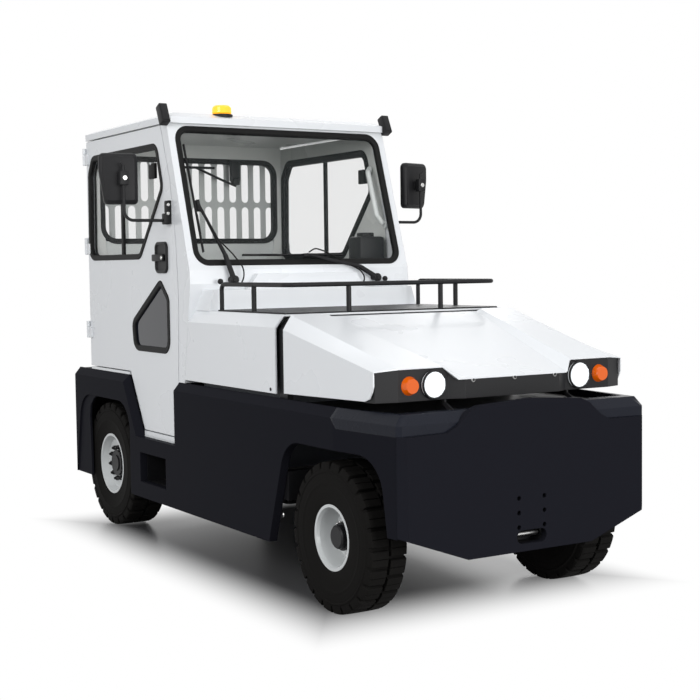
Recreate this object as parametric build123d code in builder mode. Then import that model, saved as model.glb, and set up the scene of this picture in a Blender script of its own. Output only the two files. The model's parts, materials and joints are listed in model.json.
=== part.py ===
"""Airport baggage tug: a two-seat cab behind a low sloping bonnet, on a heavy plate frame with four wheels.

X runs across the tug, Y along it with the nose at -Y, Z up. The origin is on the floor, at the centre of
the tug's box. Millimetres. "Back" means a distance behind the face of the bumper plate. Heights are over
the body's datum, and each piece is lifted by DATUM_Z as it is written.
"""

import math
import os

from build123d import *

# ---- overall ----
FRAME_LENGTH = 3192.0
COUPLING_REACH = 68.0
FRAME_HALF = 640.0
NOSE_Y = -(FRAME_LENGTH + COUPLING_REACH) / 2
DATUM_Z = 17.0  # height of the body's datum over the floor
FRONT_AXLE_BACK = 487.0
WHEELBASE = 2275.0

# ---- plate frame ----
PLATE = 38.0
FOLD_Z = 762.0  # lower edge of the sloped shoulder
DECK_Z = 800.0  # top of the frame
SHOULDER = 31.0  # how far the shoulder leans in
SKIRT_Z = 197.0  # underside between the axles
NOSE_SKIRT_Z = 348.0  # underside ahead of the front wheels
TAIL_SKIRT_Z = 222.0  # underside behind the rear wheels
TAPER_BACK = 407.0  # the sides lean in ahead of this line
NOSE_HALF = FRAME_HALF - 40.0
FACE_PLATE = 32.0  # bumper plate thickness
FACE_Z = 245.0
FACE_TOP_Z = 722.0
CROWN_Z = 830.0  # top of the raised middle of the bumper plate
CAP_FRONT_BACK = 14.0
CAP_END_BACK = 425.0
CAP_SLANT = 38.0
CAP_DEPTH = 84.0
SEAT_GAP = 0.3  # between pieces that sit against each other
PLATE_GAP = 2.0  # between the side plates and what is bolted inside them

# ---- wheels ----
FRONT_TYRE_R, FRONT_TYRE_W, FRONT_RIM_R = 300.0, 172.0, 131.0
REAR_TYRE_R, REAR_TYRE_W, REAR_RIM_R = 326.0, 190.0, 159.0
WHEEL_FACE_X = FRAME_HALF - 28.0
KINGPIN_X = WHEEL_FACE_X - 207.0
KINGPIN_R = 18.0
PIN_CLEARANCE = 0.05

# ---- rails of the chassis ----
RAIL_OUT = 265.0
RAIL_IN = RAIL_OUT - 65.0
RAIL_Z, RAIL_TOP_Z = 380.0, 500.0

# ---- covers ahead of the cab ----
COVER_HALF = FRAME_HALF - SHOULDER
COVER_Z = 816.0
BEVEL_Z = 1090.0
BEVEL_IN = 39.0
COVER_TOP_Z = 1143.0
COVER_SHEET = 8.0
HOOD_REAR_BACK = 844.0
BAND_WIDTH = 69.0
HOOD_WALL = 5.0
HOOD_GAP = 6.0

HOOD_HINGE_BACK, HOOD_HINGE_Z, HOOD_HINGE_X = 100.0, 790.0, 300.0
HOOD_PIN_R = 6.0
HINGE_PLATE = 8.0

# ---- cab ----
CAB_HALF = FRAME_HALF - SHOULDER
WALL = 30.0
DOOR_GAP = 6.0
CAB_REAR_BACK = 3022.0
ROOF_Z = 2030.0
ROOF_EDGE = 32.0
ROOF_CROWN = 24.0
FLOOR = 20.0
SEAT_DECK_Z = 720.0
SCREEN_FOOT = (1733.0, 1332.0)  # back, z of the foot of the windscreen plane
SCREEN_SLOPE = 0.327
GLASS = 6.0
HINGE_OUT = 9.0  # door hinge line outside the cab's side
STEER_X = 300.0


def at(back):
    """Y of a line this far behind the bumper face."""
    return NOSE_Y + back


def screen_back(z):
    """Windscreen plane's distance back at a height."""
    return SCREEN_FOOT[0] + SCREEN_SLOPE * (z - SCREEN_FOOT[1])


def side(points):
    """Turns (back, z) pairs into points of a YZ sketch."""
    return [(at(back), z) for back, z in points]


def plan(points):
    """Turns (x, back) pairs into points of an XY sketch."""
    return [(x, at(back)) for x, back in points]


def both(points):
    """Closes a half outline given on the +X side with its mirror image."""
    return points + [(-x, other) for x, other in reversed(points)]


def write(shape, name):
    """Names a piece and writes its STEP file."""
    piece = Pos(0, 0, DATUM_Z) * shape
    piece.label = name
    export_step(piece, f"parts/{name}.step")


def write_pair(shape, name):
    """Writes a piece made on the tug's left (+X) and its mirrored twin."""
    write(shape, f"{name}_left")
    write(mirror(shape, about=Plane.YZ), f"{name}_right")


os.makedirs("parts", exist_ok=True)
FRONT_AXLE_Y = at(FRONT_AXLE_BACK)
REAR_AXLE_BACK = FRONT_AXLE_BACK + WHEELBASE
REAR_AXLE_Y = at(REAR_AXLE_BACK)
INSIDE = FRAME_HALF - PLATE

# ================= plate frame =================
FRONT_ARCH = [  # back, z
    (FRONT_AXLE_BACK + 466, SKIRT_Z - 50),
    (FRONT_AXLE_BACK + 300, 637),
    (FRONT_AXLE_BACK - 360, 637),
    (FRONT_AXLE_BACK - 430, SKIRT_Z - 50),
]
REAR_ARCH = [
    (REAR_AXLE_BACK - 342, SKIRT_Z - 50),
    (REAR_AXLE_BACK - 342, 662),
    (REAR_AXLE_BACK + 336, 662),
    (REAR_AXLE_BACK + 446, SKIRT_Z - 50),
]
# Outline (back, z) of the thin skirt that closes the arch behind the rear tyre
REAR_SKIRT = [
    (REAR_AXLE_BACK + 222, TAIL_SKIRT_Z),
    (REAR_AXLE_BACK + 228, 430),
    (REAR_AXLE_BACK + 236, 540),
    (REAR_AXLE_BACK + 222, 603),
    (REAR_AXLE_BACK + 172, 645),
    (REAR_AXLE_BACK + 120, 665),
    (FRAME_LENGTH, 665),
    (FRAME_LENGTH, TAIL_SKIRT_Z),
]
REAR_SKIRT_SHEET = 12.0
REAR_SKIRT_RECESS = 8.0
ARCH_ROUND = 150.0
STEP_BACK, STEP_LENGTH, STEP_Z, STEP_HEIGHT = 1980.0, 312.0, 276.0, 148.0
STEP_DEPTH = 170.0
STEP_SHEET = 6.0
DOORWAY_BACK = 1872.0
DOORWAY_Z = 499.0
FENDER_FOOT_BACK = 2342.0  # outer foot of the sloping edge behind the doorway
FENDER_RUN = 155.0
FENDER_BEVEL = 40.0


def plan_band(inset):
    """The side plate's plan outline on the +X side, its top edge set in by the shoulder."""
    outer = [
        (FRAME_HALF - inset, FRAME_LENGTH),
        (FRAME_HALF - inset, TAPER_BACK),
        (NOSE_HALF - inset, FACE_PLATE),
    ]
    inner = [(NOSE_HALF - PLATE, FACE_PLATE), (INSIDE, TAPER_BACK), (INSIDE, FRAME_LENGTH)]
    return plan(outer + inner)


def doorway(bevel):
    """Outline of the doorway's cut, its rear edge moved forward by the bevel."""
    foot = FENDER_FOOT_BACK - bevel
    top_z = DECK_Z + 20
    run = FENDER_RUN * (top_z - DOORWAY_Z) / (FOLD_Z - DOORWAY_Z)
    return side([(DOORWAY_BACK, DOORWAY_Z), (foot, DOORWAY_Z), (foot + run, top_z), (DOORWAY_BACK, top_z)])


with BuildPart() as side_plate:
    with BuildSketch(Plane.XY.offset(SKIRT_Z)):
        with BuildLine():
            Polyline(*plan_band(0), close=True)
        make_face()
    extrude(amount=FOLD_Z - SKIRT_Z)
    for z, inset in ((FOLD_Z, 0), (DECK_Z, SHOULDER)):
        with BuildSketch(Plane.XY.offset(z)):
            with BuildLine():
                Polyline(*plan_band(inset), close=True)
            make_face()
    loft()
    for arch in (FRONT_ARCH, REAR_ARCH):
        with BuildSketch(Plane.YZ):
            with BuildLine():
                Polyline(*side(arch), close=True)
            make_face()
            fillet(vertices().group_by(Axis.Y)[-1], ARCH_ROUND)
        extrude(amount=FRAME_HALF + 1, mode=Mode.SUBTRACT)
    with BuildSketch(Plane.YZ.offset(FRAME_HALF - REAR_SKIRT_RECESS)):
        with BuildLine():
            Polyline(*side(REAR_SKIRT), close=True)
        make_face()
    extrude(amount=-REAR_SKIRT_SHEET)
    with BuildSketch(Plane.YZ):
        with Locations((at(FRONT_AXLE_BACK - 300), SKIRT_Z - 50)):
            Rectangle(300, NOSE_SKIRT_Z - SKIRT_Z + 50, align=(Align.MAX, Align.MIN))
        with Locations((at(REAR_AXLE_BACK + 300), SKIRT_Z - 50)):
            Rectangle(400, TAIL_SKIRT_Z - SKIRT_Z + 50, align=(Align.MIN, Align.MIN))
        with Locations((at(STEP_BACK + STEP_LENGTH / 2), STEP_Z + STEP_HEIGHT / 2)):
            Rectangle(STEP_LENGTH, STEP_HEIGHT)
    extrude(amount=FRAME_HALF + 1, mode=Mode.SUBTRACT)
    for x, bevel in ((FRAME_HALF + 0.01, 0), (CAB_HALF, FENDER_BEVEL)):
        with BuildSketch(Plane.YZ.offset(x)):
            with BuildLine():
                Polyline(*doorway(bevel), close=True)
            make_face()
    loft(mode=Mode.SUBTRACT)
    with BuildSketch(Plane.YZ.offset(CAB_HALF)):
        with BuildLine():
            Polyline(*doorway(FENDER_BEVEL), close=True)
        make_face()
    extrude(amount=-PLATE, mode=Mode.SUBTRACT)
    with BuildSketch(Plane.YZ):
        with BuildLine():
            Polyline(
                *side([
                    (CAP_END_BACK - CAP_SLANT, FACE_TOP_Z),
                    (CAP_END_BACK, FOLD_Z),
                    (CAP_END_BACK, DECK_Z + 1),
                    (-1, DECK_Z + 1),
                    (-1, FACE_TOP_Z),
                ]),
                close=True,
            )
        make_face()
    extrude(amount=FRAME_HALF + 1, mode=Mode.SUBTRACT)
write_pair(side_plate.part, "side_plate")


# The bumper plate: a half outline (x, z) from the crown down, then mirrored.
FACE_EDGE = [
    (0, CROWN_Z),
    (247, 816),
    (294, 796),
    (313, 778),
    (348, 748),
    (395, 725),
    (NOSE_HALF, FACE_TOP_Z),
    (NOSE_HALF, NOSE_SKIRT_Z + 5),
    (302, FACE_Z),
]
FACE_OUTLINE = FACE_EDGE + [(-x, z) for x, z in reversed(FACE_EDGE[1:])]


def cap_band(inset):
    """Half plan outline of the nose cap at one height."""
    outer = [
        (FRAME_HALF - inset, FRAME_LENGTH),
        (FRAME_HALF - inset, TAPER_BACK),
        (NOSE_HALF - inset, FACE_PLATE + inset * 0.4),
        (NOSE_HALF - FACE_PLATE + CAP_FRONT_BACK - inset * 1.4, CAP_FRONT_BACK + inset),
        (0, CAP_FRONT_BACK + inset),
    ]
    inner = [
        (0, CAP_FRONT_BACK + CAP_DEPTH),
        (NOSE_HALF - PLATE - 14, CAP_FRONT_BACK + CAP_DEPTH),
        (INSIDE, TAPER_BACK),
        (INSIDE, FRAME_LENGTH),
    ]
    return outer + inner


with BuildPart() as nose_cap:
    for hand in (1, -1):
        with BuildSketch(Plane.XY.offset(FACE_TOP_Z)):
            with BuildLine():
                Polyline(*plan([(hand * x, back) for x, back in cap_band(0)]), close=True)
            make_face()
        extrude(amount=FOLD_Z - FACE_TOP_Z)
        for z, inset in ((FOLD_Z, 0), (DECK_Z, SHOULDER)):
            with BuildSketch(Plane.XY.offset(z)):
                with BuildLine():
                    Polyline(*plan([(hand * x, back) for x, back in cap_band(inset)]), close=True)
                make_face()
        loft()
    with BuildSketch(Plane.YZ):
        with BuildLine():
            Polyline(
                *side([
                    (CAP_END_BACK - CAP_SLANT, FACE_TOP_Z - 1),
                    (CAP_END_BACK - CAP_SLANT, FACE_TOP_Z),
                    (CAP_END_BACK, FOLD_Z),
                    (CAP_END_BACK, DECK_Z + 1),
                    (FRAME_LENGTH + 1, DECK_Z + 1),
                    (FRAME_LENGTH + 1, FACE_TOP_Z - 1),
                ]),
                close=True,
            )
        make_face()
    extrude(amount=FRAME_HALF + 1, both=True, mode=Mode.SUBTRACT)
    with BuildSketch(Plane.XZ.offset(-at(FACE_PLATE))):
        with BuildLine():
            Polyline(*FACE_OUTLINE, close=True)
        make_face()
    extrude(amount=2 * FACE_PLATE, mode=Mode.SUBTRACT)
    # Notches for the bonnet's hinges.
    for hand in (1, -1):
        with Locations((hand * HOOD_HINGE_X, at(HOOD_HINGE_BACK - 20), FACE_TOP_Z - 1)):
            Box(5 * HINGE_PLATE, 60, 100, align=(Align.CENTER, Align.MIN, Align.MIN), mode=Mode.SUBTRACT)
write(nose_cap.part, "nose_cap")

HOLE_COLUMN, HOLE_ROW, HOLE_Z, HOLE_R = 124.0, 56.0, 395.0, 9.0
SLOT_HALF, SLOT_Z, SLOT_HEIGHT = 72.0, 300.0, 52.0
TOW_PIN_R = 12.0
with BuildPart() as bumper_plate:
    with BuildSketch(Plane.XZ.offset(-at(FACE_PLATE))):
        with BuildLine():
            Polyline(*FACE_OUTLINE, close=True)
        make_face()
    extrude(amount=FACE_PLATE)
    outer_edges = bumper_plate.edges().filter_by(Axis.Z).group_by(Axis.Y)[0]
    chamfer(outer_edges, FACE_PLATE - 1)
    with BuildSketch(Plane.XZ.offset(-at(FACE_PLATE + 1))):
        with Locations((0, HOLE_Z)):
            with GridLocations(HOLE_COLUMN, HOLE_ROW, 2, 3):
                Circle(HOLE_R)
        with Locations((0, SLOT_Z)):
            SlotOverall(2 * SLOT_HALF, SLOT_HEIGHT)
    extrude(amount=FACE_PLATE + 2, mode=Mode.SUBTRACT)
write(bumper_plate.part, "bumper_plate")

# ================= chassis =================
NOSE_BOX_BACK = 110.0
POCKET_DEPTH = 60.0
DECK_SHEET = 12.0
DECK_DROP = 30.0  # the inner deck lies below the frame's top
TAIL_BOX_BACK = FRAME_LENGTH - 92.0
TAIL_PLATE = 32.0
with BuildPart() as nose_ballast:
    # Ballast box behind the bumper plate, with the pocket for the tow pin.
    with BuildSketch(Plane.XZ.offset(-at(NOSE_BOX_BACK))):
        with BuildLine():
            Polyline((302, FACE_Z + 8), (540, NOSE_SKIRT_Z + 4), (540, 715), (-540, 715),
                     (-540, NOSE_SKIRT_Z + 4), (-302, FACE_Z + 8), close=True)
        make_face()
    extrude(amount=NOSE_BOX_BACK - FACE_PLATE)
    with BuildSketch(Plane.XZ.offset(-at(FACE_PLATE + POCKET_DEPTH))):
        with Locations((0, SLOT_Z)):
            SlotOverall(2 * SLOT_HALF + 8, SLOT_HEIGHT + 8)
        with Locations((0, HOLE_Z)):
            with GridLocations(HOLE_COLUMN, HOLE_ROW, 2, 3):
                Circle(HOLE_R)
    extrude(amount=POCKET_DEPTH, mode=Mode.SUBTRACT)
    # Ears for the bonnet's hinge pins.
    for hand in (1, -1):
        with BuildSketch(Plane.YZ.offset(hand * (HOOD_HINGE_X - HINGE_PLATE / 2))):
            with Locations((at(HOOD_HINGE_BACK), 700)):
                Rectangle(2 * HOOD_PIN_R + 12, HOOD_HINGE_Z + 12 - 700, align=(Align.CENTER, Align.MIN))
            with Locations((at(HOOD_HINGE_BACK), HOOD_HINGE_Z)):
                Circle(HOOD_PIN_R + PIN_CLEARANCE, mode=Mode.SUBTRACT)
        extrude(amount=-hand * HINGE_PLATE)
write(nose_ballast.part, "nose_ballast")

with BuildPart() as chassis:
    # Rails, cross-members and the tail's ballast box.
    for hand in (1, -1):
        with Locations((hand * (RAIL_IN + RAIL_OUT) / 2, at(NOSE_BOX_BACK), RAIL_Z)):
            Box(RAIL_OUT - RAIL_IN, TAIL_BOX_BACK - NOSE_BOX_BACK, RAIL_TOP_Z - RAIL_Z,
                align=(Align.CENTER, Align.MIN, Align.MIN))
    for back in (860.0, 1800.0, 2340.0):
        with Locations((0, at(back), RAIL_Z)):
            Box(2 * (INSIDE - PLATE_GAP), 50, RAIL_TOP_Z - RAIL_Z,
                align=(Align.CENTER, Align.CENTER, Align.MIN))
    with Locations((0, at(TAIL_BOX_BACK), TAIL_SKIRT_Z + 4)):
        Box(2 * (INSIDE - PLATE_GAP), FRAME_LENGTH - TAIL_PLATE - TAIL_BOX_BACK, DECK_Z - TAIL_SKIRT_Z - 14,
            align=(Align.CENTER, Align.MIN, Align.MIN))
write(chassis.part, "chassis")

BATTERY_BACK, BATTERY_LENGTH, BATTERY_TOP_Z = 930.0, 770.0, 1060.0
BATTERY_HALF = INSIDE - 42.0
BATTERY_GAP = 10.0
with BuildPart() as front_deck:
    with BuildSketch(Plane.XY.offset(DECK_Z - DECK_DROP - DECK_SHEET)):
        with BuildLine():
            Polyline(
                *plan(both([
                    (NOSE_HALF - PLATE - 14, HOOD_HINGE_BACK + 18),
                    (INSIDE - SEAT_GAP, TAPER_BACK),
                    (INSIDE - SEAT_GAP, 1795),
                ])),
                close=True,
            )
        make_face()
    extrude(amount=DECK_SHEET)
    with Locations((0, at(BATTERY_BACK + BATTERY_LENGTH / 2), DECK_Z - DECK_DROP - DECK_SHEET / 2)):
        Box(2 * (BATTERY_HALF + BATTERY_GAP), BATTERY_LENGTH + 2 * BATTERY_GAP, DECK_SHEET * 2,
            mode=Mode.SUBTRACT)
write(front_deck.part, "front_deck")

with BuildPart() as tow_pin:
    with Locations((0, at(FACE_PLATE + POCKET_DEPTH / 2), SLOT_Z)):
        Cylinder(TOW_PIN_R, 2 * SLOT_HALF - 2, rotation=(0, 90, 0))
    with Locations((0, at(FACE_PLATE + POCKET_DEPTH * 0.75), SLOT_Z)):
        Box(30, POCKET_DEPTH / 2, TOW_PIN_R)
write(tow_pin.part, "front_tow_pin")

COUPLING_Z = 380.0
COUPLING_PITCH = 62.0
COUPLING_PLATE = 16.0
COUPLING_HALF = 60.0
COUPLING_BORE_R = 16.0
with BuildPart() as rear_coupling:
    # Back plate, then a stack of tongues with one bore down through them.
    with Locations((0, at(FRAME_LENGTH), COUPLING_Z)):
        Box(2 * COUPLING_HALF + 40, 14, 2 * COUPLING_PITCH + 60, align=(Align.CENTER, Align.MIN, Align.CENTER))
    for step in (-1, 0, 1):
        with BuildSketch(Plane.XY.offset(COUPLING_Z + step * COUPLING_PITCH - COUPLING_PLATE / 2)):
            with Locations((0, at(FRAME_LENGTH + 14))):
                Rectangle(2 * COUPLING_HALF, COUPLING_REACH - 14, align=(Align.CENTER, Align.MIN))
            fillet(vertices().group_by(Axis.Y)[-1], 22)
        extrude(amount=COUPLING_PLATE)
    with Locations((0, at(FRAME_LENGTH + COUPLING_REACH - 26), COUPLING_Z)):
        Cylinder(COUPLING_BORE_R, 3 * COUPLING_PITCH, mode=Mode.SUBTRACT)
write(rear_coupling.part, "rear_coupling")

with BuildPart() as tail_plate:
    with Locations((0, at(FRAME_LENGTH), TAIL_SKIRT_Z + 30)):
        Box(2 * (INSIDE - PLATE_GAP), TAIL_PLATE, DECK_Z - TAIL_SKIRT_Z - 34,
            align=(Align.CENTER, Align.MAX, Align.MIN))
    with Locations((0, at(FRAME_LENGTH - TAIL_PLATE), DECK_Z - 10)):
        Box(2 * (INSIDE - PLATE_GAP), FRAME_LENGTH - TAIL_PLATE - CAB_REAR_BACK - DOOR_GAP, 6,
            align=(Align.CENTER, Align.MAX, Align.MIN))
write(tail_plate.part, "tail_plate")

with BuildPart() as foot_steps:
    for hand in (1, -1):
        with Locations((hand * INSIDE, at(STEP_BACK + STEP_LENGTH / 2), STEP_Z + STEP_HEIGHT / 2)):
            Box(STEP_DEPTH, STEP_LENGTH + 2 * STEP_SHEET, STEP_HEIGHT + 2 * STEP_SHEET,
                align=(Align.MAX if hand > 0 else Align.MIN, Align.CENTER, Align.CENTER))
            Box(STEP_DEPTH - STEP_SHEET, STEP_LENGTH, STEP_HEIGHT,
                align=(Align.MAX if hand > 0 else Align.MIN, Align.CENTER, Align.CENTER), mode=Mode.SUBTRACT)
write(foot_steps.part, "foot_steps")

with BuildPart() as battery:
    with Locations((0, at(BATTERY_BACK), RAIL_TOP_Z)):
        Box(2 * BATTERY_HALF, BATTERY_LENGTH, BATTERY_TOP_Z - RAIL_TOP_Z,
            align=(Align.CENTER, Align.MIN, Align.MIN))
write(battery.part, "battery")

# ================= covers ahead of the cab =================
CAB_FOOT_BACK = 1812.0
CAB_BROW = (1728.0, 1266.0)  # back, z where the front wall turns upright
WALL_LINE = [(CAB_FOOT_BACK, DECK_Z), CAB_BROW, SCREEN_FOOT, (screen_back(ROOF_Z), ROOF_Z)]


def wall_back(z):
    """Front wall's distance back below the brow."""
    return CAB_FOOT_BACK + (CAB_BROW[0] - CAB_FOOT_BACK) * (z - DECK_Z) / (CAB_BROW[1] - DECK_Z)


def cover_section(inset, floor_z):
    """Cross-section of the covers: upright sides, bevels and a flat top."""
    half = COVER_HALF - inset
    return both([
        (half, floor_z),
        (half, BEVEL_Z - inset * 0.4),
        (half - BEVEL_IN + inset * 0.2, COVER_TOP_Z - inset),
    ])


COVER_FRONT_BACK = HOOD_REAR_BACK + BAND_WIDTH + 2
with BuildPart() as side_covers:
    for inset, mode in ((0, Mode.ADD), (COVER_SHEET, Mode.SUBTRACT)):
        with BuildSketch(Plane.XZ.offset(-at(1900))):
            with BuildLine():
                Polyline(*cover_section(inset, COVER_Z - inset), close=True)
            make_face()
        extrude(amount=1900 - COVER_FRONT_BACK, mode=mode)
    with BuildSketch(Plane.YZ):
        with BuildLine():
            Polyline(
                *side([
                    (wall_back(DECK_Z) - 1, DECK_Z),
                    (wall_back(COVER_TOP_Z + 7) - 1, COVER_TOP_Z + 7),
                    (1950, COVER_TOP_Z + 7),
                    (1950, DECK_Z),
                ]),
                close=True,
            )
        make_face()
    extrude(amount=700, both=True, mode=Mode.SUBTRACT)
write(side_covers.part, "side_covers")

BAND_INSET = 20.0
with BuildPart() as hood_band:
    # Dark upright hoop between the bonnet and the covers.
    with BuildSketch(Plane.XZ.offset(-at(HOOD_REAR_BACK + BAND_WIDTH))):
        with BuildLine():
            Polyline(*cover_section(BAND_INSET, DECK_Z - DECK_DROP), close=True)
        make_face()
        with BuildLine():
            Polyline(*cover_section(BAND_INSET + 28, DECK_Z - DECK_DROP - 1), close=True)
        make_face(mode=Mode.SUBTRACT)
    extrude(amount=BAND_WIDTH - 6)
write(hood_band.part, "hood_band")

# ================= bonnet =================
# Section table: back, floor z, side top z, bevel's inner x, top z, rib's inner x, dip's x, middle z
HOOD_REAR = (HOOD_REAR_BACK, 822, 1084, COVER_HALF - 39, COVER_TOP_Z, COVER_HALF - 209, COVER_HALF - 233, 1133)
HOOD_FRONT = (109, 840, 938, COVER_HALF - 92, 953, COVER_HALF - 298, COVER_HALF - 344, 914)
HOOD_NOSE = [
    (COVER_HALF - 340, 104),
    (COVER_HALF - 300, 137),
    (COVER_HALF - 92, 137),
    (COVER_HALF, 165),
    (COVER_HALF + 31, 165),
    (COVER_HALF + 31, 60),
    (COVER_HALF - 340, 60),
]
HOOD_CHEEK = [(222, 838), (192, 848), (173, 874), (160, 905), (165, 947), (60, 947), (60, 820), (222, 820)]


def hood_section(row, inset):
    """Cross-section of the bonnet from a row of the section table."""
    back, floor_z, side_z, bevel_x, top_z, rib_x, dip_x, middle_z = row
    drop = inset * 1.1
    return both([
        (COVER_HALF - inset, floor_z - inset),
        (COVER_HALF - inset, side_z - inset * 0.5),
        (bevel_x - inset * 0.4, top_z - drop),
        (rib_x, top_z - drop),
        (dip_x, middle_z - drop),
    ])


def hood_loft_row(row, back):
    """The section row that the bonnet would have at another distance back."""
    share = (back - HOOD_REAR[0]) / (HOOD_FRONT[0] - HOOD_REAR[0])
    return tuple(rear + (front - rear) * share for rear, front in zip(HOOD_REAR, HOOD_FRONT))


with BuildPart() as hood:
    for inset, near, far, mode in ((0, 90, HOOD_REAR_BACK, Mode.ADD),
                                   (HOOD_WALL, 80, HOOD_REAR_BACK + 5, Mode.SUBTRACT)):
        for back in (near, far):
            with BuildSketch(Plane.XZ.offset(-at(back))):
                with BuildLine():
                    Polyline(*hood_section(hood_loft_row(HOOD_REAR, back), inset), close=True)
                make_face()
        loft(mode=mode)
    # The nose is cut to its plan outline, and the cheeks to their curved front edge.
    for hand in (1, -1):
        with BuildSketch(Plane.XY.offset(DECK_Z)):
            with BuildLine():
                Polyline(*plan([(hand * x, back) for x, back in HOOD_NOSE]), close=True)
            make_face()
        extrude(amount=400, mode=Mode.SUBTRACT)
    with Locations((0, at(106), DECK_Z)):
        Box(800, 100, 400, align=(Align.CENTER, Align.MAX, Align.MIN), mode=Mode.SUBTRACT)
    for hand in (1, -1):
        with BuildSketch(Plane.YZ.offset(hand * HOOD_FRONT[3])):
            with BuildLine():
                Polyline(*side(HOOD_CHEEK), close=True)
            make_face()
        extrude(amount=hand * 200, mode=Mode.SUBTRACT)
write(hood.part, "hood")

PANEL_Z = 812.0
PANEL_SHEET = 20.0
PANEL_FRONT = [  # x, back
    (0, 110),
    (COVER_HALF - 379, 110),
    (COVER_HALF - 322, 141),
    (COVER_HALF - 93, 141),
    (COVER_HALF - 10, 172),
    (COVER_HALF - 10, 236),
]
PANEL_BACK = [
    (0, 130),
    (COVER_HALF - 385, 130),
    (COVER_HALF - 328, 161),
    (COVER_HALF - 100, 161),
    (COVER_HALF - 30, 184),
    (COVER_HALF - 30, 236),
]
HINGE_ARM = [(91, 781), (107, 781), (160, 816), (160, 850), (142, 850), (142, 824), (91, 800)]  # back, z
LAMP_X, LAMP_Z, LAMP_R = 356.0, 893.0, 53.0
AMBER_X, AMBER_Z, AMBER_R = 465.0, 893.0, 36.0
with BuildPart() as lamp_panel:
    for hand in (1, -1):
        outline = PANEL_FRONT + list(reversed(PANEL_BACK))
        with BuildSketch(Plane.XY.offset(PANEL_Z)):
            with BuildLine():
                Polyline(*plan([(hand * x, back) for x, back in outline]), close=True)
            make_face()
        extrude(amount=200)
    # Trimmed to fit under the bonnet's skin.
    for back in (60, 300):
        with BuildSketch(Plane.XZ.offset(-at(back))):
            with BuildLine():
                Polyline(*hood_section(hood_loft_row(HOOD_REAR, back), HOOD_WALL + 0.2), close=True)
            make_face()
    loft(mode=Mode.INTERSECT)
    with BuildSketch(Plane.XZ.offset(-at(180))):
        with Locations((LAMP_X, LAMP_Z), (-LAMP_X, LAMP_Z)):
            Circle(LAMP_R - 6)
        with Locations((AMBER_X, AMBER_Z), (-AMBER_X, AMBER_Z)):
            Circle(AMBER_R - 6)
    extrude(amount=60, mode=Mode.SUBTRACT)
    # Hinge arms and their pins.
    for hand in (1, -1):
        with BuildSketch(Plane.YZ.offset(hand * (HOOD_HINGE_X - HINGE_PLATE / 2 + SEAT_GAP))):
            with BuildLine():
                Polyline(*side(HINGE_ARM), close=True)
            make_face()
        extrude(amount=hand * HINGE_PLATE)
        with BuildSketch(Plane.YZ.offset(hand * (HOOD_HINGE_X + HINGE_PLATE / 2))):
            with Locations((at(HOOD_HINGE_BACK), HOOD_HINGE_Z)):
                Circle(HOOD_PIN_R)
        extrude(amount=-hand * 2.5 * HINGE_PLATE)
write(lamp_panel.part, "lamp_panel")

for name, x, z, radius, proud in (("headlamps", LAMP_X, LAMP_Z, LAMP_R, 10),
                                  ("indicators", AMBER_X, AMBER_Z, AMBER_R, 24)):
    with BuildPart() as lamp:
        for hand in (1, -1):
            with BuildSketch(Plane.XZ.offset(-at(141))):
                with Locations((hand * x, z)):
                    Circle(radius)
            extrude(amount=proud, taper=20)
            with BuildSketch(Plane.XZ.offset(-at(175))):
                with Locations((hand * x, z)):
                    Circle(radius - 6.2)
            extrude(amount=34)
    write(lamp.part, name)

# ================= guard rail =================
TRAY_SHEET = 6.0
RAIL_HALF = COVER_HALF - 69.0
RAIL_FRONT_BACK, RAIL_SIDE_BACK, RAIL_REAR_BACK = 922.0, 1226.0, 1540.0
RAIL_POST_X = 240.0
RAIL_HIGH_Z = 1265.0
RAIL_BEND, RAIL_DROP_BEND = 40.0, 28.0
TUBE_R, POST_R = 10.0, 11.0
with BuildPart() as guard_rail:
    # Black tray plate on the covers, the hoop round it and its posts.
    with Locations((0, at(COVER_FRONT_BACK + 6), COVER_TOP_Z)):
        Box(2 * RAIL_HALF + 24, RAIL_REAR_BACK + 16 - COVER_FRONT_BACK - 6, TRAY_SHEET,
            align=(Align.CENTER, Align.MIN, Align.MIN))
    with BuildLine() as hoop:
        FilletPolyline(
            (RAIL_HALF, at(RAIL_REAR_BACK - 60), RAIL_HIGH_Z),
            (RAIL_HALF, at(RAIL_FRONT_BACK), RAIL_HIGH_Z),
            (-RAIL_HALF, at(RAIL_FRONT_BACK), RAIL_HIGH_Z),
            (-RAIL_HALF, at(RAIL_REAR_BACK - 60), RAIL_HIGH_Z),
            radius=RAIL_BEND,
        )
    with BuildSketch(Plane(origin=(RAIL_HALF, at(RAIL_REAR_BACK - 60), RAIL_HIGH_Z), z_dir=(0, -1, 0))):
        Circle(TUBE_R)
    sweep(path=hoop.line)
    for hand in (1, -1):
        with BuildLine() as drop:
            FilletPolyline(
                (hand * RAIL_HALF, at(RAIL_REAR_BACK), COVER_TOP_Z + TRAY_SHEET - 2),
                (hand * RAIL_HALF, at(RAIL_REAR_BACK), RAIL_HIGH_Z),
                (hand * RAIL_HALF, at(RAIL_REAR_BACK - 62), RAIL_HIGH_Z),
                radius=RAIL_DROP_BEND,
            )
        with BuildSketch(Plane(origin=(hand * RAIL_HALF, at(RAIL_REAR_BACK), COVER_TOP_Z + TRAY_SHEET - 2),
                               z_dir=(0, 0, 1))):
            Circle(TUBE_R)
        sweep(path=drop.line)
    posts = [(hand * RAIL_POST_X, RAIL_FRONT_BACK + 5) for hand in (1, -1)]
    posts += [(hand * RAIL_HALF, RAIL_SIDE_BACK) for hand in (1, -1)]
    with BuildSketch(Plane.XY.offset(COVER_TOP_Z + TRAY_SHEET - 2)):
        with Locations(*plan(posts)):
            Circle(POST_R)
    extrude(amount=RAIL_HIGH_Z - COVER_TOP_Z - TRAY_SHEET + 2)
write(guard_rail.part, "guard_rail")

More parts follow.
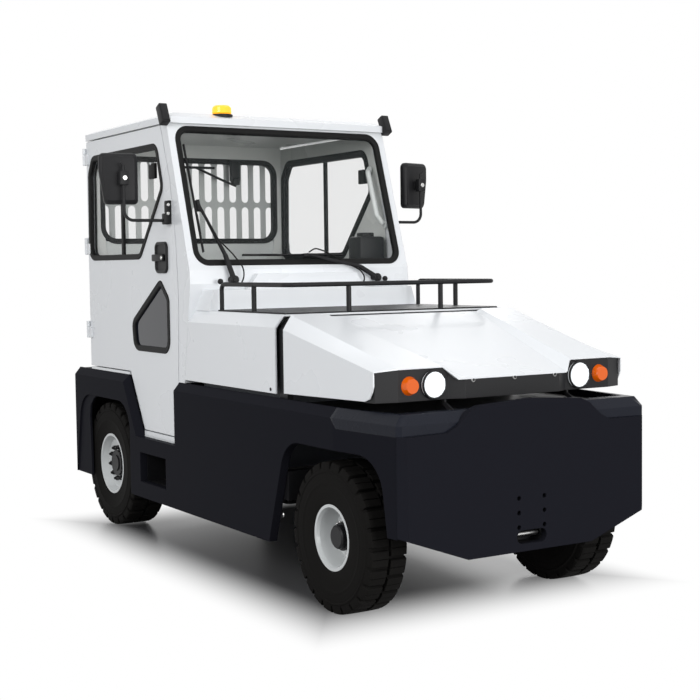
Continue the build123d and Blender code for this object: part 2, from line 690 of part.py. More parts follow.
# ================= cab =================
COWL_HALF, COWL_TOP_HALF, COWL_Z, COWL_DEPTH = CAB_HALF - 34.0, CAB_HALF - 64.0, 1238.0, 120.0
BROW_HALF, BROW_TOP_HALF, BROW_Z, BROW_DEPTH = 322.0, 276.0, 1310.0, 40.0
DOOR_FRONT = [(2030, 2030), (2002, 1953), (1931, 1759), (1877, 1474), (1857, 1191), (1875, 812), (1875, 800)]
SCREEN_LOW_Z, SCREEN_HIGH_Z, SCREEN_ROUND = 1364.0, 2006.0, 60.0
SCREEN_HALF = CAB_HALF - 47.0
SCREEN_TILT = math.degrees(math.atan(SCREEN_SLOPE))

with BuildPart() as cab_front:
    # Front wall and both windscreen posts, hollowed, then the windscreen's opening.
    with BuildSketch(Plane.YZ):
        with BuildLine():
            Polyline(*side(WALL_LINE + DOOR_FRONT), close=True)
        make_face()
    extrude(amount=CAB_HALF, both=True)
    inner = [(back + WALL, z) for back, z in WALL_LINE]
    with BuildSketch(Plane.YZ):
        with BuildLine():
            Polyline(
                *side([(inner[0][0], DECK_Z - 1)] + inner[:-1] + [(inner[-1][0], ROOF_Z + 1)]),
                *side([(2200, ROOF_Z + 1), (2200, DECK_Z - 1)]),
                close=True,
            )
        make_face()
    extrude(amount=CAB_HALF - WALL, both=True, mode=Mode.SUBTRACT)
    mid_z = (SCREEN_LOW_Z + SCREEN_HIGH_Z) / 2
    screen_plane = Plane(
        origin=(0, at(screen_back(mid_z)), mid_z),
        x_dir=(1, 0, 0),
        z_dir=(0, -math.cos(math.radians(SCREEN_TILT)), math.sin(math.radians(SCREEN_TILT))),
    )
    screen_height = (SCREEN_HIGH_Z - SCREEN_LOW_Z) / math.cos(math.radians(SCREEN_TILT))
    with BuildSketch(screen_plane):
        RectangleRounded(2 * SCREEN_HALF, screen_height, SCREEN_ROUND)
    extrude(amount=60, both=True, mode=Mode.SUBTRACT)
write(cab_front.part, "cab_front")

with BuildPart() as windscreen:
    with BuildSketch(screen_plane.offset(-WALL / 2)):
        RectangleRounded(2 * SCREEN_HALF, screen_height, SCREEN_ROUND)
    extrude(amount=GLASS)
write(windscreen.part, "windscreen")

with BuildPart() as cowl:
    # Two steps against the front wall, their ends leaning in.
    for half, top_half, low, high, depth in (
        (COWL_HALF, COWL_TOP_HALF, COVER_TOP_Z, COWL_Z, COWL_DEPTH),
        (BROW_HALF, BROW_TOP_HALF, COWL_Z, BROW_Z, BROW_DEPTH),
    ):
        with BuildSketch(Plane.XZ.offset(-at(1800))):
            with BuildLine():
                Polyline((half, low), (top_half, high), (-top_half, high), (-half, low), close=True)
            make_face()
        extrude(amount=1800 - CAB_BROW[0] + depth)
    with BuildSketch(Plane.YZ):
        with BuildLine():
            Polyline(
                *side([(wall_back(1100), 1100), CAB_BROW, SCREEN_FOOT, (SCREEN_FOOT[0], 1400), (1900, 1400),
                       (1900, 1100)]),
                close=True,
            )
        make_face()
    extrude(amount=700, both=True, mode=Mode.SUBTRACT)
write(cowl.part, "cowl")

HINGE_Z = (1000.0, 1450.0, 1930.0)
HINGE_R, HINGE_HEIGHT, HINGE_FIXED = 9.0, 60.0, 30.0
HINGE_X = CAB_HALF + HINGE_OUT
HINGE_BACK = CAB_REAR_BACK + 4.0
REAR_WINDOW_HALF = CAB_HALF - 89.0
REAR_WINDOW_Z, REAR_WINDOW_TOP_Z, REAR_WINDOW_ROUND = 1390.0, 1945.0, 80.0
REAR_HALF = CAB_HALF - WALL - DOOR_GAP
with BuildPart() as cab_rear:
    with BuildSketch(Plane.XZ.offset(-at(CAB_REAR_BACK))):
        with Locations((0, DECK_Z)):
            Rectangle(2 * REAR_HALF, ROOF_Z - DECK_Z, align=(Align.CENTER, Align.MIN))
        with Locations((0, (REAR_WINDOW_Z + REAR_WINDOW_TOP_Z) / 2)):
            RectangleRounded(2 * REAR_WINDOW_HALF, REAR_WINDOW_TOP_Z - REAR_WINDOW_Z, REAR_WINDOW_ROUND,
                             mode=Mode.SUBTRACT)
    extrude(amount=WALL)
    # Fixed halves of the door hinges, on leaves behind the wall.
    for hand in (1, -1):
        for z in HINGE_Z:
            with Locations((hand * HINGE_X, at(HINGE_BACK), z + (HINGE_HEIGHT + HINGE_FIXED) / 2 + SEAT_GAP)):
                Cylinder(HINGE_R, HINGE_FIXED)
                Box(HINGE_X - REAR_HALF + 20, 8, HINGE_FIXED,
                    align=(Align.MAX if hand > 0 else Align.MIN, Align.CENTER, Align.CENTER))
write(cab_rear.part, "cab_rear")

with BuildPart() as rear_window:
    with BuildSketch(Plane.XZ.offset(-at(CAB_REAR_BACK - 6))):
        with Locations((0, (REAR_WINDOW_Z + REAR_WINDOW_TOP_Z) / 2)):
            RectangleRounded(2 * REAR_WINDOW_HALF, REAR_WINDOW_TOP_Z - REAR_WINDOW_Z, REAR_WINDOW_ROUND)
    extrude(amount=GLASS)
write(rear_window.part, "rear_window")

GUARD_SHEET = 5.0
GUARD_SLOT_PITCH, GUARD_SLOT_WIDTH, GUARD_SLOT_HEIGHT = 112.0, 62.0, 230.0
GUARD_ROW_PITCH = 262.0
with BuildPart() as rear_guard:
    # Plate with two rows of upright slots over the rear window.
    with BuildSketch(Plane.XZ.offset(-at(CAB_REAR_BACK + GUARD_SHEET))):
        with Locations((0, (REAR_WINDOW_Z + REAR_WINDOW_TOP_Z) / 2)):
            RectangleRounded(2 * REAR_WINDOW_HALF + 50, REAR_WINDOW_TOP_Z - REAR_WINDOW_Z + 50, 60)
            with GridLocations(GUARD_SLOT_PITCH, GUARD_ROW_PITCH, 9, 2):
                SlotOverall(GUARD_SLOT_HEIGHT, GUARD_SLOT_WIDTH, rotation=90, mode=Mode.SUBTRACT)
    extrude(amount=GUARD_SHEET)
write(rear_guard.part, "rear_guard")

ROOF_FRONT_BACK = 1940.0
ROOF_REAR_BACK = CAB_REAR_BACK + 12.0
ROOF_HALF = CAB_HALF + 6.0
with BuildPart() as roof:
    with BuildSketch(Plane.XY.offset(ROOF_Z)):
        with Locations((0, at((ROOF_FRONT_BACK + ROOF_REAR_BACK) / 2))):
            RectangleRounded(2 * ROOF_HALF, ROOF_REAR_BACK - ROOF_FRONT_BACK, 30)
    extrude(amount=ROOF_EDGE)
    extrude(faces().sort_by(Axis.Z)[-1], amount=ROOF_CROWN, taper=70)
write(roof.part, "roof")

FOOTWELL_END_BACK = 2420.0
with BuildPart() as cab_floor:
    # Footwell, riser and the raised deck that carries the seats, bent from one sheet.
    with BuildSketch(Plane.YZ):
        with BuildLine():
            Polyline(
                *side([
                    (1846, RAIL_TOP_Z),
                    (FOOTWELL_END_BACK, RAIL_TOP_Z),
                    (FOOTWELL_END_BACK, SEAT_DECK_Z - FLOOR),
                    (CAB_REAR_BACK, SEAT_DECK_Z - FLOOR),
                    (CAB_REAR_BACK, DECK_Z),
                    (CAB_REAR_BACK - WALL, DECK_Z),
                    (CAB_REAR_BACK - WALL, SEAT_DECK_Z),
                    (FOOTWELL_END_BACK - FLOOR, SEAT_DECK_Z),
                    (FOOTWELL_END_BACK - FLOOR, RAIL_TOP_Z + FLOOR),
                    (1846, RAIL_TOP_Z + FLOOR),
                ]),
                close=True,
            )
        make_face()
    extrude(amount=REAR_HALF, both=True)
    with Locations((0, at(1846), RAIL_TOP_Z)):
        Box(2 * REAR_HALF, FLOOR, DECK_Z - RAIL_TOP_Z, align=(Align.CENTER, Align.MAX, Align.MIN))
write(cab_floor.part, "cab_floor")

SEAT_X, SEAT_WIDTH, SEAT_DEPTH, SEAT_THICK = 300.0, 460.0, 430.0, 110.0
SEAT_BASE_HEIGHT = 60.0
SEAT_FRONT_BACK = 2450.0
BACKREST_HEIGHT, BACKREST_THICK = 430.0, 90.0
with BuildPart() as seat_bases:
    for hand in (1, -1):
        with Locations((hand * SEAT_X, at(SEAT_FRONT_BACK + 30), SEAT_DECK_Z)):
            Box(SEAT_WIDTH - 80, SEAT_DEPTH - 60, SEAT_BASE_HEIGHT, align=(Align.CENTER, Align.MIN, Align.MIN))
write(seat_bases.part, "seat_bases")

with BuildPart() as seats:
    for hand in (1, -1):
        seat_z = SEAT_DECK_Z + SEAT_BASE_HEIGHT
        with BuildSketch(Plane.XY.offset(seat_z)):
            with Locations((hand * SEAT_X, at(SEAT_FRONT_BACK + SEAT_DEPTH / 2))):
                RectangleRounded(SEAT_WIDTH, SEAT_DEPTH, 40)
        extrude(amount=SEAT_THICK)
        back_plane = Plane(
            origin=(hand * SEAT_X, at(SEAT_FRONT_BACK + SEAT_DEPTH - 10), seat_z + SEAT_THICK - 20),
            x_dir=(1, 0, 0),
            z_dir=(0, -math.cos(math.radians(6)), math.sin(math.radians(6))),
        )
        with BuildSketch(back_plane):
            with Locations((0, BACKREST_HEIGHT / 2)):
                RectangleRounded(SEAT_WIDTH - 20, BACKREST_HEIGHT, 50)
        extrude(amount=BACKREST_THICK)
write(seats.part, "seats")

DASH_Z, DASH_TOP_Z, DASH_DEPTH = 1000.0, 1240.0, 210.0
COLUMN_TILT = 30.0
WHEEL_R, WHEEL_TUBE_R = 190.0, 13.0
WHEEL_CENTRE = (STEER_X, 2140.0, 1225.0)  # x, back, z
steer_plane = Plane(
    origin=(WHEEL_CENTRE[0], at(WHEEL_CENTRE[1]), WHEEL_CENTRE[2]),
    x_dir=(1, 0, 0),
    z_dir=(0, math.sin(math.radians(COLUMN_TILT)), math.cos(math.radians(COLUMN_TILT))),
)
with BuildPart() as dashboard:
    with BuildSketch(Plane.YZ):
        with BuildLine():
            Polyline(
                *side([
                    (wall_back(DASH_Z) + WALL + 1, DASH_Z),
                    (CAB_BROW[0] + WALL + 140, DASH_Z),
                    (CAB_BROW[0] + DASH_DEPTH + 70, DASH_Z + 60),
                    (CAB_BROW[0] + DASH_DEPTH + 50, DASH_TOP_Z - 60),
                    (CAB_BROW[0] + WALL + 60, DASH_TOP_Z),
                    (wall_back(DASH_TOP_Z) + WALL + 1, DASH_TOP_Z),
                ]),
                close=True,
            )
        make_face()
    extrude(amount=CAB_HALF - WALL - 45, both=True)
    with BuildSketch(steer_plane.offset(-34 - SEAT_GAP)):
        Circle(34)
    extrude(amount=-250)
write(dashboard.part, "dashboard")

with BuildPart() as steering_wheel:
    with BuildSketch(Plane(origin=steer_plane.origin + steer_plane.x_dir * WHEEL_R,
                           x_dir=steer_plane.x_dir, z_dir=steer_plane.y_dir)):
        Circle(WHEEL_TUBE_R)
    revolve(axis=Axis(steer_plane.origin, steer_plane.z_dir), revolution_arc=360)
    with BuildSketch(steer_plane.offset(-34)):
        Circle(30)
    extrude(amount=44)
    with BuildSketch(steer_plane.offset(-6)):
        for angle in (90, 210, 330):
            with Locations(Location((0, 0, 0), (0, 0, angle))):
                Rectangle(WHEEL_R, 26, align=(Align.MIN, Align.CENTER))
    extrude(amount=10)
write(steering_wheel.part, "steering_wheel")

# ================= doors =================
DOOR_BACK_EDGE = CAB_REAR_BACK - DOOR_GAP + 1.0
DOOR_TOP_Z = ROOF_Z - DOOR_GAP
LEDGE_STRIP, SILL_STRIP = 14.0, 31.0  # heights of the white strips below the door
DOOR_LEDGE_Z = DECK_Z + LEDGE_STRIP + DOOR_GAP
DOOR_SILL_Z = DOORWAY_Z + SILL_STRIP + DOOR_GAP
slant_foot = FENDER_FOOT_BACK - FENDER_BEVEL
slant_run = FENDER_RUN / (FOLD_Z - DOORWAY_Z)
DOOR_OUTLINE = [(back + DOOR_GAP, min(z, DOOR_TOP_Z)) for back, z in DOOR_FRONT[:-1]]
DOOR_OUTLINE += [
    (DOORWAY_BACK + DOOR_GAP + 3, DECK_Z),
    (DOORWAY_BACK + DOOR_GAP + 3, DOOR_SILL_Z),
    (slant_foot - DOOR_GAP * 1.2, DOOR_SILL_Z),
    (slant_foot - DOOR_GAP * 1.2 + slant_run * (DOOR_LEDGE_Z - DOOR_SILL_Z), DOOR_LEDGE_Z),
    (DOOR_BACK_EDGE, DOOR_LEDGE_Z),
    (DOOR_BACK_EDGE, DOOR_TOP_Z),
]
with BuildPart() as door_sills:
    for hand in (1, -1):
        side_align = Align.MAX if hand > 0 else Align.MIN
        with Locations((hand * (CAB_HALF - 1), at(slant_foot + slant_run * (DECK_Z - DOORWAY_Z)), DECK_Z + SEAT_GAP)):
            Box(24, DOOR_BACK_EDGE - slant_foot - slant_run * (DECK_Z - DOORWAY_Z), LEDGE_STRIP - SEAT_GAP,
                align=(side_align, Align.MIN, Align.MIN))
        with Locations((hand * (CAB_HALF - 1), at(DOORWAY_BACK + SEAT_GAP), DOORWAY_Z + SEAT_GAP)):
            Box(24, slant_foot - DOORWAY_BACK - 2 * SEAT_GAP, SILL_STRIP - SEAT_GAP,
                align=(side_align, Align.MIN, Align.MIN))
write(door_sills.part, "door_sills")

# Window outlines: back, z, corner radius
UPPER_WINDOW = [
    (2925, 1932, 50),
    (2979, 1850, 60),
    (2990, 1400, 60),
    (2310, 1400, 60),
    (2022, 1728, 50),
    (2085, 1932, 60),
]
LOWER_WINDOW = [
    (2068, 1275, 26),
    (1978, 1190, 40),
    (1978, 942, 55),
    (2395, 942, 55),
    (2412, 1070, 50),
]


def window_points(table):
    """A window's corner points in the YZ sketch."""
    return side([(back, z) for back, z, _ in table])


def window_radii(table):
    """A window's corner radii, in the order of its points."""
    return [radius for _, _, radius in table]


with BuildPart() as door:
    with BuildSketch(Plane.YZ.offset(CAB_HALF - WALL)):
        with BuildLine():
            Polyline(*side(DOOR_OUTLINE), close=True)
        make_face()
    extrude(amount=WALL)
    for table in (UPPER_WINDOW, LOWER_WINDOW):
        with BuildSketch(Plane.YZ.offset(CAB_HALF - WALL - 1)):
            with BuildLine():
                FilletPolyline(*window_points(table), radius=window_radii(table), close=True)
            make_face()
        extrude(amount=WALL + 2, mode=Mode.SUBTRACT)
    for z in HINGE_Z:
        with Locations((HINGE_X, at(HINGE_BACK), z)):
            Cylinder(HINGE_R, HINGE_HEIGHT)
        with Locations((CAB_HALF - 4, at(HINGE_BACK - 2), z)):
            Box(HINGE_OUT + 6, 44, HINGE_HEIGHT - 4, align=(Align.MIN, Align.MAX, Align.CENTER))
write_pair(door.part, "door")

with BuildPart() as door_windows:
    for table in (UPPER_WINDOW, LOWER_WINDOW):
        with BuildSketch(Plane.YZ.offset(CAB_HALF - WALL / 2 - GLASS / 2)):
            with BuildLine():
                FilletPolyline(*window_points(table), radius=window_radii(table), close=True)
            make_face()
        extrude(amount=GLASS)
write_pair(door_windows.part, "door_windows")

LATCH_BACK, LATCH_Z, LATCH_WIDTH, LATCH_HEIGHT = 2074.0, 1392.0, 120.0, 134.0
MIRROR_X, MIRROR_Z = CAB_HALF + 230.0, 1763.0
MIRROR_WIDTH, MIRROR_HEIGHT, MIRROR_DEPTH = 184.0, 240.0, 44.0
MIRROR_STAND_OFF = 60.0  # from the arm to the middle of the housing
MIRROR_TOE = 14.4
ARM_BACK, ARM_Z, ARM_R = 1942.0, 1567.0, 7.5
with BuildPart() as door_fittings:
    # Recessed paddle latch.
    with Locations((CAB_HALF, at(LATCH_BACK), LATCH_Z)):
        Box(14, LATCH_WIDTH, LATCH_HEIGHT, align=(Align.MIN, Align.CENTER, Align.CENTER))
    # Mirror bracket, bent arm and housing.
    with Locations((CAB_HALF, at(ARM_BACK), ARM_Z + 39)):
        Box(36, 40, 108, align=(Align.MIN, Align.CENTER, Align.CENTER))
    with BuildLine() as arm:
        FilletPolyline((CAB_HALF + 30, at(ARM_BACK), ARM_Z), (MIRROR_X, at(ARM_BACK), ARM_Z),
                       (MIRROR_X, at(ARM_BACK), MIRROR_Z + 60), radius=46)
    with BuildSketch(Plane(origin=(CAB_HALF + 30, at(ARM_BACK), ARM_Z), z_dir=(1, 0, 0))):
        Circle(ARM_R)
    sweep(path=arm.line)
    with Locations((MIRROR_X, at(ARM_BACK - 20), MIRROR_Z)):
        Box(40, MIRROR_STAND_OFF + 8, 60, align=(Align.CENTER, Align.MIN, Align.CENTER))
    housing_plane = Plane(
        origin=(MIRROR_X, at(ARM_BACK + MIRROR_STAND_OFF), MIRROR_Z),
        x_dir=(math.cos(math.radians(MIRROR_TOE)), math.sin(math.radians(MIRROR_TOE)), 0),
        z_dir=(-math.sin(math.radians(MIRROR_TOE)), math.cos(math.radians(MIRROR_TOE)), 0),
    )
    with BuildSketch(housing_plane.offset(MIRROR_DEPTH / 2)):
        RectangleRounded(MIRROR_WIDTH, MIRROR_HEIGHT, 28)
    extrude(amount=-MIRROR_DEPTH, taper=8)
write_pair(door_fittings.part, "mirror_and_latch")

# ================= small fittings =================
with BuildPart() as roof_lamps:
    for hand in (1, -1):
        with Locations((hand * (ROOF_HALF + SEAT_GAP + 27), at(ROOF_FRONT_BACK + 16), ROOF_Z + 38)):
            Box(54, 46, 98, rotation=(-25, 0, 0))
write(roof_lamps.part, "roof_lamps")

BEACON_BACK = 2560.0
with BuildPart() as beacon:
    with Locations((0, at(BEACON_BACK), ROOF_Z + ROOF_EDGE + ROOF_CROWN)):
        Cylinder(46, 16, align=(Align.CENTER, Align.CENTER, Align.MIN))
    with Locations((0, at(BEACON_BACK), ROOF_Z + ROOF_EDGE + ROOF_CROWN + 16)):
        Cylinder(42, 52, align=(Align.CENTER, Align.CENTER, Align.MIN))
    fillet(beacon.edges().group_by(Axis.Z)[-1], 12)
write(beacon.part, "beacon")

WIPER_X, WIPER_Z = 398.0, 1283.0
with BuildPart() as wipers:
    for hand in (-1, 1):
        with BuildSketch(Plane.XZ.offset(-at(CAB_BROW[0]))):
            with Locations((hand * WIPER_X, WIPER_Z)):
                Circle(16)
        extrude(amount=34)
write(wipers.part, "wiper_pivots")

# ================= wheels =================
BEAD_IN = 18.0  # the bead seat starts this far in from the tyre's face
LIP_IN = 8.0
RIM_WALL = 11.0
HUB_GAP = 0.3


TYRE_FACETS = 36
LUG_COUNT = 24
LUG_HEIGHT, LUG_HALF, LUG_FLARE = 15.0, 30.0, 3.0
TREAD_IN = 16.0  # the tread's corners lie this far in from the tyre's faces
LUG_IN = 7.0  # the lugs' ends lie this far in
LUG_ROW_GAP = 12.0  # between the two rows


def carcass_table(radius, width, bore):
    """Tyre sections (x in from the outer face, radius) from bead to bead, without lugs."""
    bulge = bore + (radius - bore) * 0.55
    half = [(LIP_IN, bore + 4), (0, bulge), (TREAD_IN, radius - LUG_HEIGHT)]
    return half + [(width - x, r) for x, r in reversed(half)]


def rim_profile(width, rim_r, dish, bore):
    """Rim section (x, radius): lip, dish, wheel disc, inner barrel and bead seat."""
    points = [
        (LIP_IN, rim_r),
        (LIP_IN, rim_r - 12),
        (22, rim_r - 6 - RIM_WALL),
        (dish, rim_r - 16 - RIM_WALL),
        (dish + 6, bore),
        (dish + 30, bore),
        (dish + 26, rim_r - 20 - RIM_WALL),
        (width - 22, rim_r - 6 - RIM_WALL),
        (width - LIP_IN, rim_r - 12),
        (width - LIP_IN, rim_r),
        (width - BEAD_IN, rim_r),
        (width - BEAD_IN, rim_r - 6),
        (BEAD_IN, rim_r - 6),
        (BEAD_IN, rim_r),
    ]
    return [(WHEEL_FACE_X - x, r) for x, r in points]


# Wheel table: name, axle line, tyre radius, tyre width, rim radius, dish depth, hub radius, hub's nose depth
WHEELS = (
    ("front", FRONT_AXLE_Y, FRONT_TYRE_R, FRONT_TYRE_W, FRONT_RIM_R, 96.0, 60.0, 52.0),
    ("rear", REAR_AXLE_Y, REAR_TYRE_R, REAR_TYRE_W, REAR_RIM_R, 46.0, 68.0, 26.0),
)
HUB_BACK = 12.0  # the hub reaches this far behind the wheel disc
hub_faces = {}
for name, axle_y, radius, width, rim_r, dish, hub_r, nose in WHEELS:
    axle_z = radius - DATUM_Z
    wheel_plane = Plane(origin=(0, axle_y, axle_z), x_dir=(1, 0, 0), z_dir=(0, -1, 0))
    spin_axis = Axis((0, axle_y, axle_z), (1, 0, 0))
    with BuildPart() as tyre:
        for x, section_r in carcass_table(radius, width, rim_r):
            with BuildSketch(Plane.YZ.offset(WHEEL_FACE_X - x)):
                with Locations((axle_y, axle_z)):
                    RegularPolygon(section_r, TYRE_FACETS)
        loft(ruled=True)
        with BuildSketch(Plane.YZ.offset(WHEEL_FACE_X - width)):
            with Locations((axle_y, axle_z)):
                RegularPolygon(rim_r + PIN_CLEARANCE, TYRE_FACETS, major_radius=False)
        extrude(amount=width, mode=Mode.SUBTRACT)
        # Two rows of lugs, half a pitch apart.
        lug_top = math.sqrt(radius**2 - LUG_HALF**2)
        lug_foot = radius - LUG_HEIGHT - 8
        lug_width = width / 2 - LUG_IN - LUG_ROW_GAP / 2
        for row, x in enumerate((LUG_IN + lug_width, width - LUG_IN)):
            with BuildSketch(Plane.YZ.offset(WHEEL_FACE_X - x)):
                with Locations((axle_y, axle_z)):
                    with PolarLocations(0, LUG_COUNT, start_angle=row * 180 / LUG_COUNT):
                        Polygon(
                            (lug_foot, -LUG_HALF - LUG_FLARE),
                            (lug_top, -LUG_HALF),
                            (lug_top, LUG_HALF),
                            (lug_foot, LUG_HALF + LUG_FLARE),
                            align=None,
                        )
            extrude(amount=lug_width)
    write_pair(tyre.part, f"{name}_tyre")

    with BuildPart() as rim:
        with BuildSketch(wheel_plane):
            with BuildLine():
                Polyline(*rim_profile(width, rim_r, dish, hub_r), close=True)
            make_face()
        revolve(axis=spin_axis)
    write_pair(rim.part, f"{name}_rim")

    hub_faces[name] = WHEEL_FACE_X - dish - 30 - HUB_BACK
    with BuildPart() as hub:
        with BuildSketch(Plane.YZ.offset(hub_faces[name])):
            with Locations((axle_y, axle_z)):
                Circle(hub_r)
        extrude(amount=HUB_BACK + 30 + 14)
        with BuildSketch(Plane.YZ.offset(WHEEL_FACE_X - dish + 14)):
            with Locations((axle_y, axle_z)):
                Circle(hub_r * 0.62)
        extrude(amount=dish - 14 - nose)
    write_pair(hub.part, f"{name}_hub")

AXLE_BOSS_R, AXLE_BOSS_HALF = 32.0, 34.0
YOKE_GAP, YOKE_EAR = 6.0, 30.0
front_z = FRONT_TYRE_R - DATUM_Z
with BuildPart() as front_axle:
    with Locations((0, FRONT_AXLE_Y, front_z)):
        Box(2 * KINGPIN_X, 70, 2 * AXLE_BOSS_HALF - 8)
    for hand in (1, -1):
        with Locations((hand * KINGPIN_X, FRONT_AXLE_Y, front_z)):
            Cylinder(AXLE_BOSS_R, 2 * AXLE_BOSS_HALF)
            Cylinder(KINGPIN_R + PIN_CLEARANCE, 3 * AXLE_BOSS_HALF, mode=Mode.SUBTRACT)
        # Pad and spring block up to the rail.
        with Locations((hand * (RAIL_IN + RAIL_OUT) / 2, FRONT_AXLE_Y, front_z + AXLE_BOSS_HALF - 5)):
            Box(RAIL_OUT - RAIL_IN, 140, RAIL_Z - front_z - AXLE_BOSS_HALF + 5,
                align=(Align.CENTER, Align.CENTER, Align.MIN))
write(front_axle.part, "front_axle")

with BuildPart() as knuckle:
    # Kingpin through the boss, an ear above and below it, the web and the stub axle.
    with Locations((KINGPIN_X, FRONT_AXLE_Y, front_z)):
        Cylinder(KINGPIN_R, 2 * (AXLE_BOSS_HALF + YOKE_GAP + YOKE_EAR))
    for up in (1, -1):
        with Locations((KINGPIN_X, FRONT_AXLE_Y, front_z + up * (AXLE_BOSS_HALF + YOKE_GAP + YOKE_EAR / 2))):
            Cylinder(AXLE_BOSS_R, YOKE_EAR)
            Box(AXLE_BOSS_R + YOKE_GAP + 24, 2 * AXLE_BOSS_R, YOKE_EAR,
                align=(Align.MIN, Align.CENTER, Align.CENTER))
    with Locations((KINGPIN_X + AXLE_BOSS_R + YOKE_GAP, FRONT_AXLE_Y, front_z)):
        Box(24, 2 * AXLE_BOSS_R, 2 * (AXLE_BOSS_HALF + YOKE_GAP + YOKE_EAR),
            align=(Align.MIN, Align.CENTER, Align.CENTER))
        Cylinder(28, hub_faces["front"] - HUB_GAP - KINGPIN_X - AXLE_BOSS_R - YOKE_GAP, rotation=(0, 90, 0),
                 align=(Align.CENTER, Align.CENTER, Align.MIN))
write_pair(knuckle.part, "knuckle")

DIFF_R = 122.0
AXLE_TUBE_R = 52.0
rear_z = REAR_TYRE_R - DATUM_Z
with BuildPart() as rear_axle:
    with Locations((0, REAR_AXLE_Y, rear_z)):
        Cylinder(AXLE_TUBE_R, 2 * (hub_faces["rear"] - HUB_GAP), rotation=(0, 90, 0))
        Cylinder(DIFF_R, 2 * RAIL_IN - 60, rotation=(0, 90, 0))
        with Locations((0, 40 - DIFF_R, 0)):
            Cylinder(85, 260, rotation=(90, 0, 0), align=(Align.CENTER, Align.CENTER, Align.MIN))
    for hand in (1, -1):
        with Locations((hand * (RAIL_IN + RAIL_OUT) / 2, REAR_AXLE_Y, rear_z)):
            Box(RAIL_OUT - RAIL_IN, 150, RAIL_Z - rear_z, align=(Align.CENTER, Align.CENTER, Align.MIN))
        with Locations((hand * 380, REAR_AXLE_Y, rear_z)):
            Cylinder(118, 40, rotation=(0, 90, 0))
write(rear_axle.part, "rear_axle")
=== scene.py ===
"""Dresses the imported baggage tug: materials, tyres, seals, lamps, fittings, floor, light and camera."""

import json
import math

import bmesh
import bpy
from mathutils import Matrix, Vector


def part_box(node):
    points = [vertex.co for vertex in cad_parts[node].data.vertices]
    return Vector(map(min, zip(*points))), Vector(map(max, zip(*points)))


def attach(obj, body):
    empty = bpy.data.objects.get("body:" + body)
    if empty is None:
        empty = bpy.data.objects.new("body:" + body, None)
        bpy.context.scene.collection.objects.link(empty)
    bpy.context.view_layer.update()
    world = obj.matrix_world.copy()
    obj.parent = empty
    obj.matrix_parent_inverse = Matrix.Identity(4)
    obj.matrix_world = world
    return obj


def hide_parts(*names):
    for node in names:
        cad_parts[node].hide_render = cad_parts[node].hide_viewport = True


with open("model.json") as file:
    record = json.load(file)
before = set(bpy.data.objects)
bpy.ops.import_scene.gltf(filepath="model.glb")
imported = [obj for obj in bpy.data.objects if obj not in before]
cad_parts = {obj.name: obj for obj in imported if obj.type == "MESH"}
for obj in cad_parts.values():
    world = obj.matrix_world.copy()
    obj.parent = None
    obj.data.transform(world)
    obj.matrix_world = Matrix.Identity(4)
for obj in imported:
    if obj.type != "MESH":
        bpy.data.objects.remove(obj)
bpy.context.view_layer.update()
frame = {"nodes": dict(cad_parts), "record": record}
NODES = frame["nodes"]
MM = 0.001
NOSE_Y = -1630.0
DATUM_Z = 17.0  # the body's datum over the floor; heights below are over the datum
TAU = 2 * math.pi
HANDS = (("left", 1), ("right", -1))
ROOT = "tug_body"
HOOD = "hood_assembly"


def at(back):
    """Y in millimetres of a line this far behind the bumper's face."""
    return NOSE_Y + back


# ================= materials =================
BUMP_DETAIL = 3.0
NOISE_LOW, NOISE_HIGH = 0.35, 0.65  # the part of the noise's range that roughness follows


def new_material(name):
    """An empty node material with its Principled shader."""
    mat = bpy.data.materials.new(name)
    mat.use_nodes = True
    return mat, mat.node_tree.nodes["Principled BSDF"]


def link(mat, a, b):
    """Connects two sockets of a material."""
    mat.node_tree.links.new(a, b)


def math_node(tree, operation, *values):
    """The result of a sum on sockets or plain numbers."""
    node = tree.nodes.new("ShaderNodeMath")
    node.operation = operation
    for socket, value in zip(node.inputs, values):
        if isinstance(value, bpy.types.NodeSocket):
            tree.links.new(value, socket)
        else:
            socket.default_value = value
    return node.outputs[0]


def add_bump(mat, shader, scale, strength, distance, edge=0.0):
    """Fine surface relief from noise, over softened edges where edge is the rounding in metres."""
    tree = mat.node_tree
    coords = tree.nodes.new("ShaderNodeTexCoord")
    noise = tree.nodes.new("ShaderNodeTexNoise")
    noise.inputs["Scale"].default_value = scale
    noise.inputs["Detail"].default_value = BUMP_DETAIL
    bump = tree.nodes.new("ShaderNodeBump")
    bump.inputs["Strength"].default_value = strength
    bump.inputs["Distance"].default_value = distance
    link(mat, coords.outputs["Object"], noise.inputs["Vector"])
    link(mat, noise.outputs["Fac"], bump.inputs["Height"])
    if edge:
        bevel = tree.nodes.new("ShaderNodeBevel")
        bevel.samples = 4
        bevel.inputs["Radius"].default_value = edge
        link(mat, bevel.outputs["Normal"], bump.inputs["Normal"])
    link(mat, bump.outputs["Normal"], shader.inputs["Normal"])
    return noise


def vary(mat, shader, noise, socket, low, high):
    """Drives a shader value between two limits by the noise."""
    ramp = mat.node_tree.nodes.new("ShaderNodeMapRange")
    ramp.inputs["From Min"].default_value = NOISE_LOW
    ramp.inputs["From Max"].default_value = NOISE_HIGH
    ramp.inputs["To Min"].default_value = low
    ramp.inputs["To Max"].default_value = high
    link(mat, noise.outputs["Fac"], ramp.inputs["Value"])
    link(mat, ramp.outputs["Result"], shader.inputs[socket])


PLAIN_BUMP = (60.0, 0.05, 0.0004)  # the noise's scale, its strength and its depth in metres


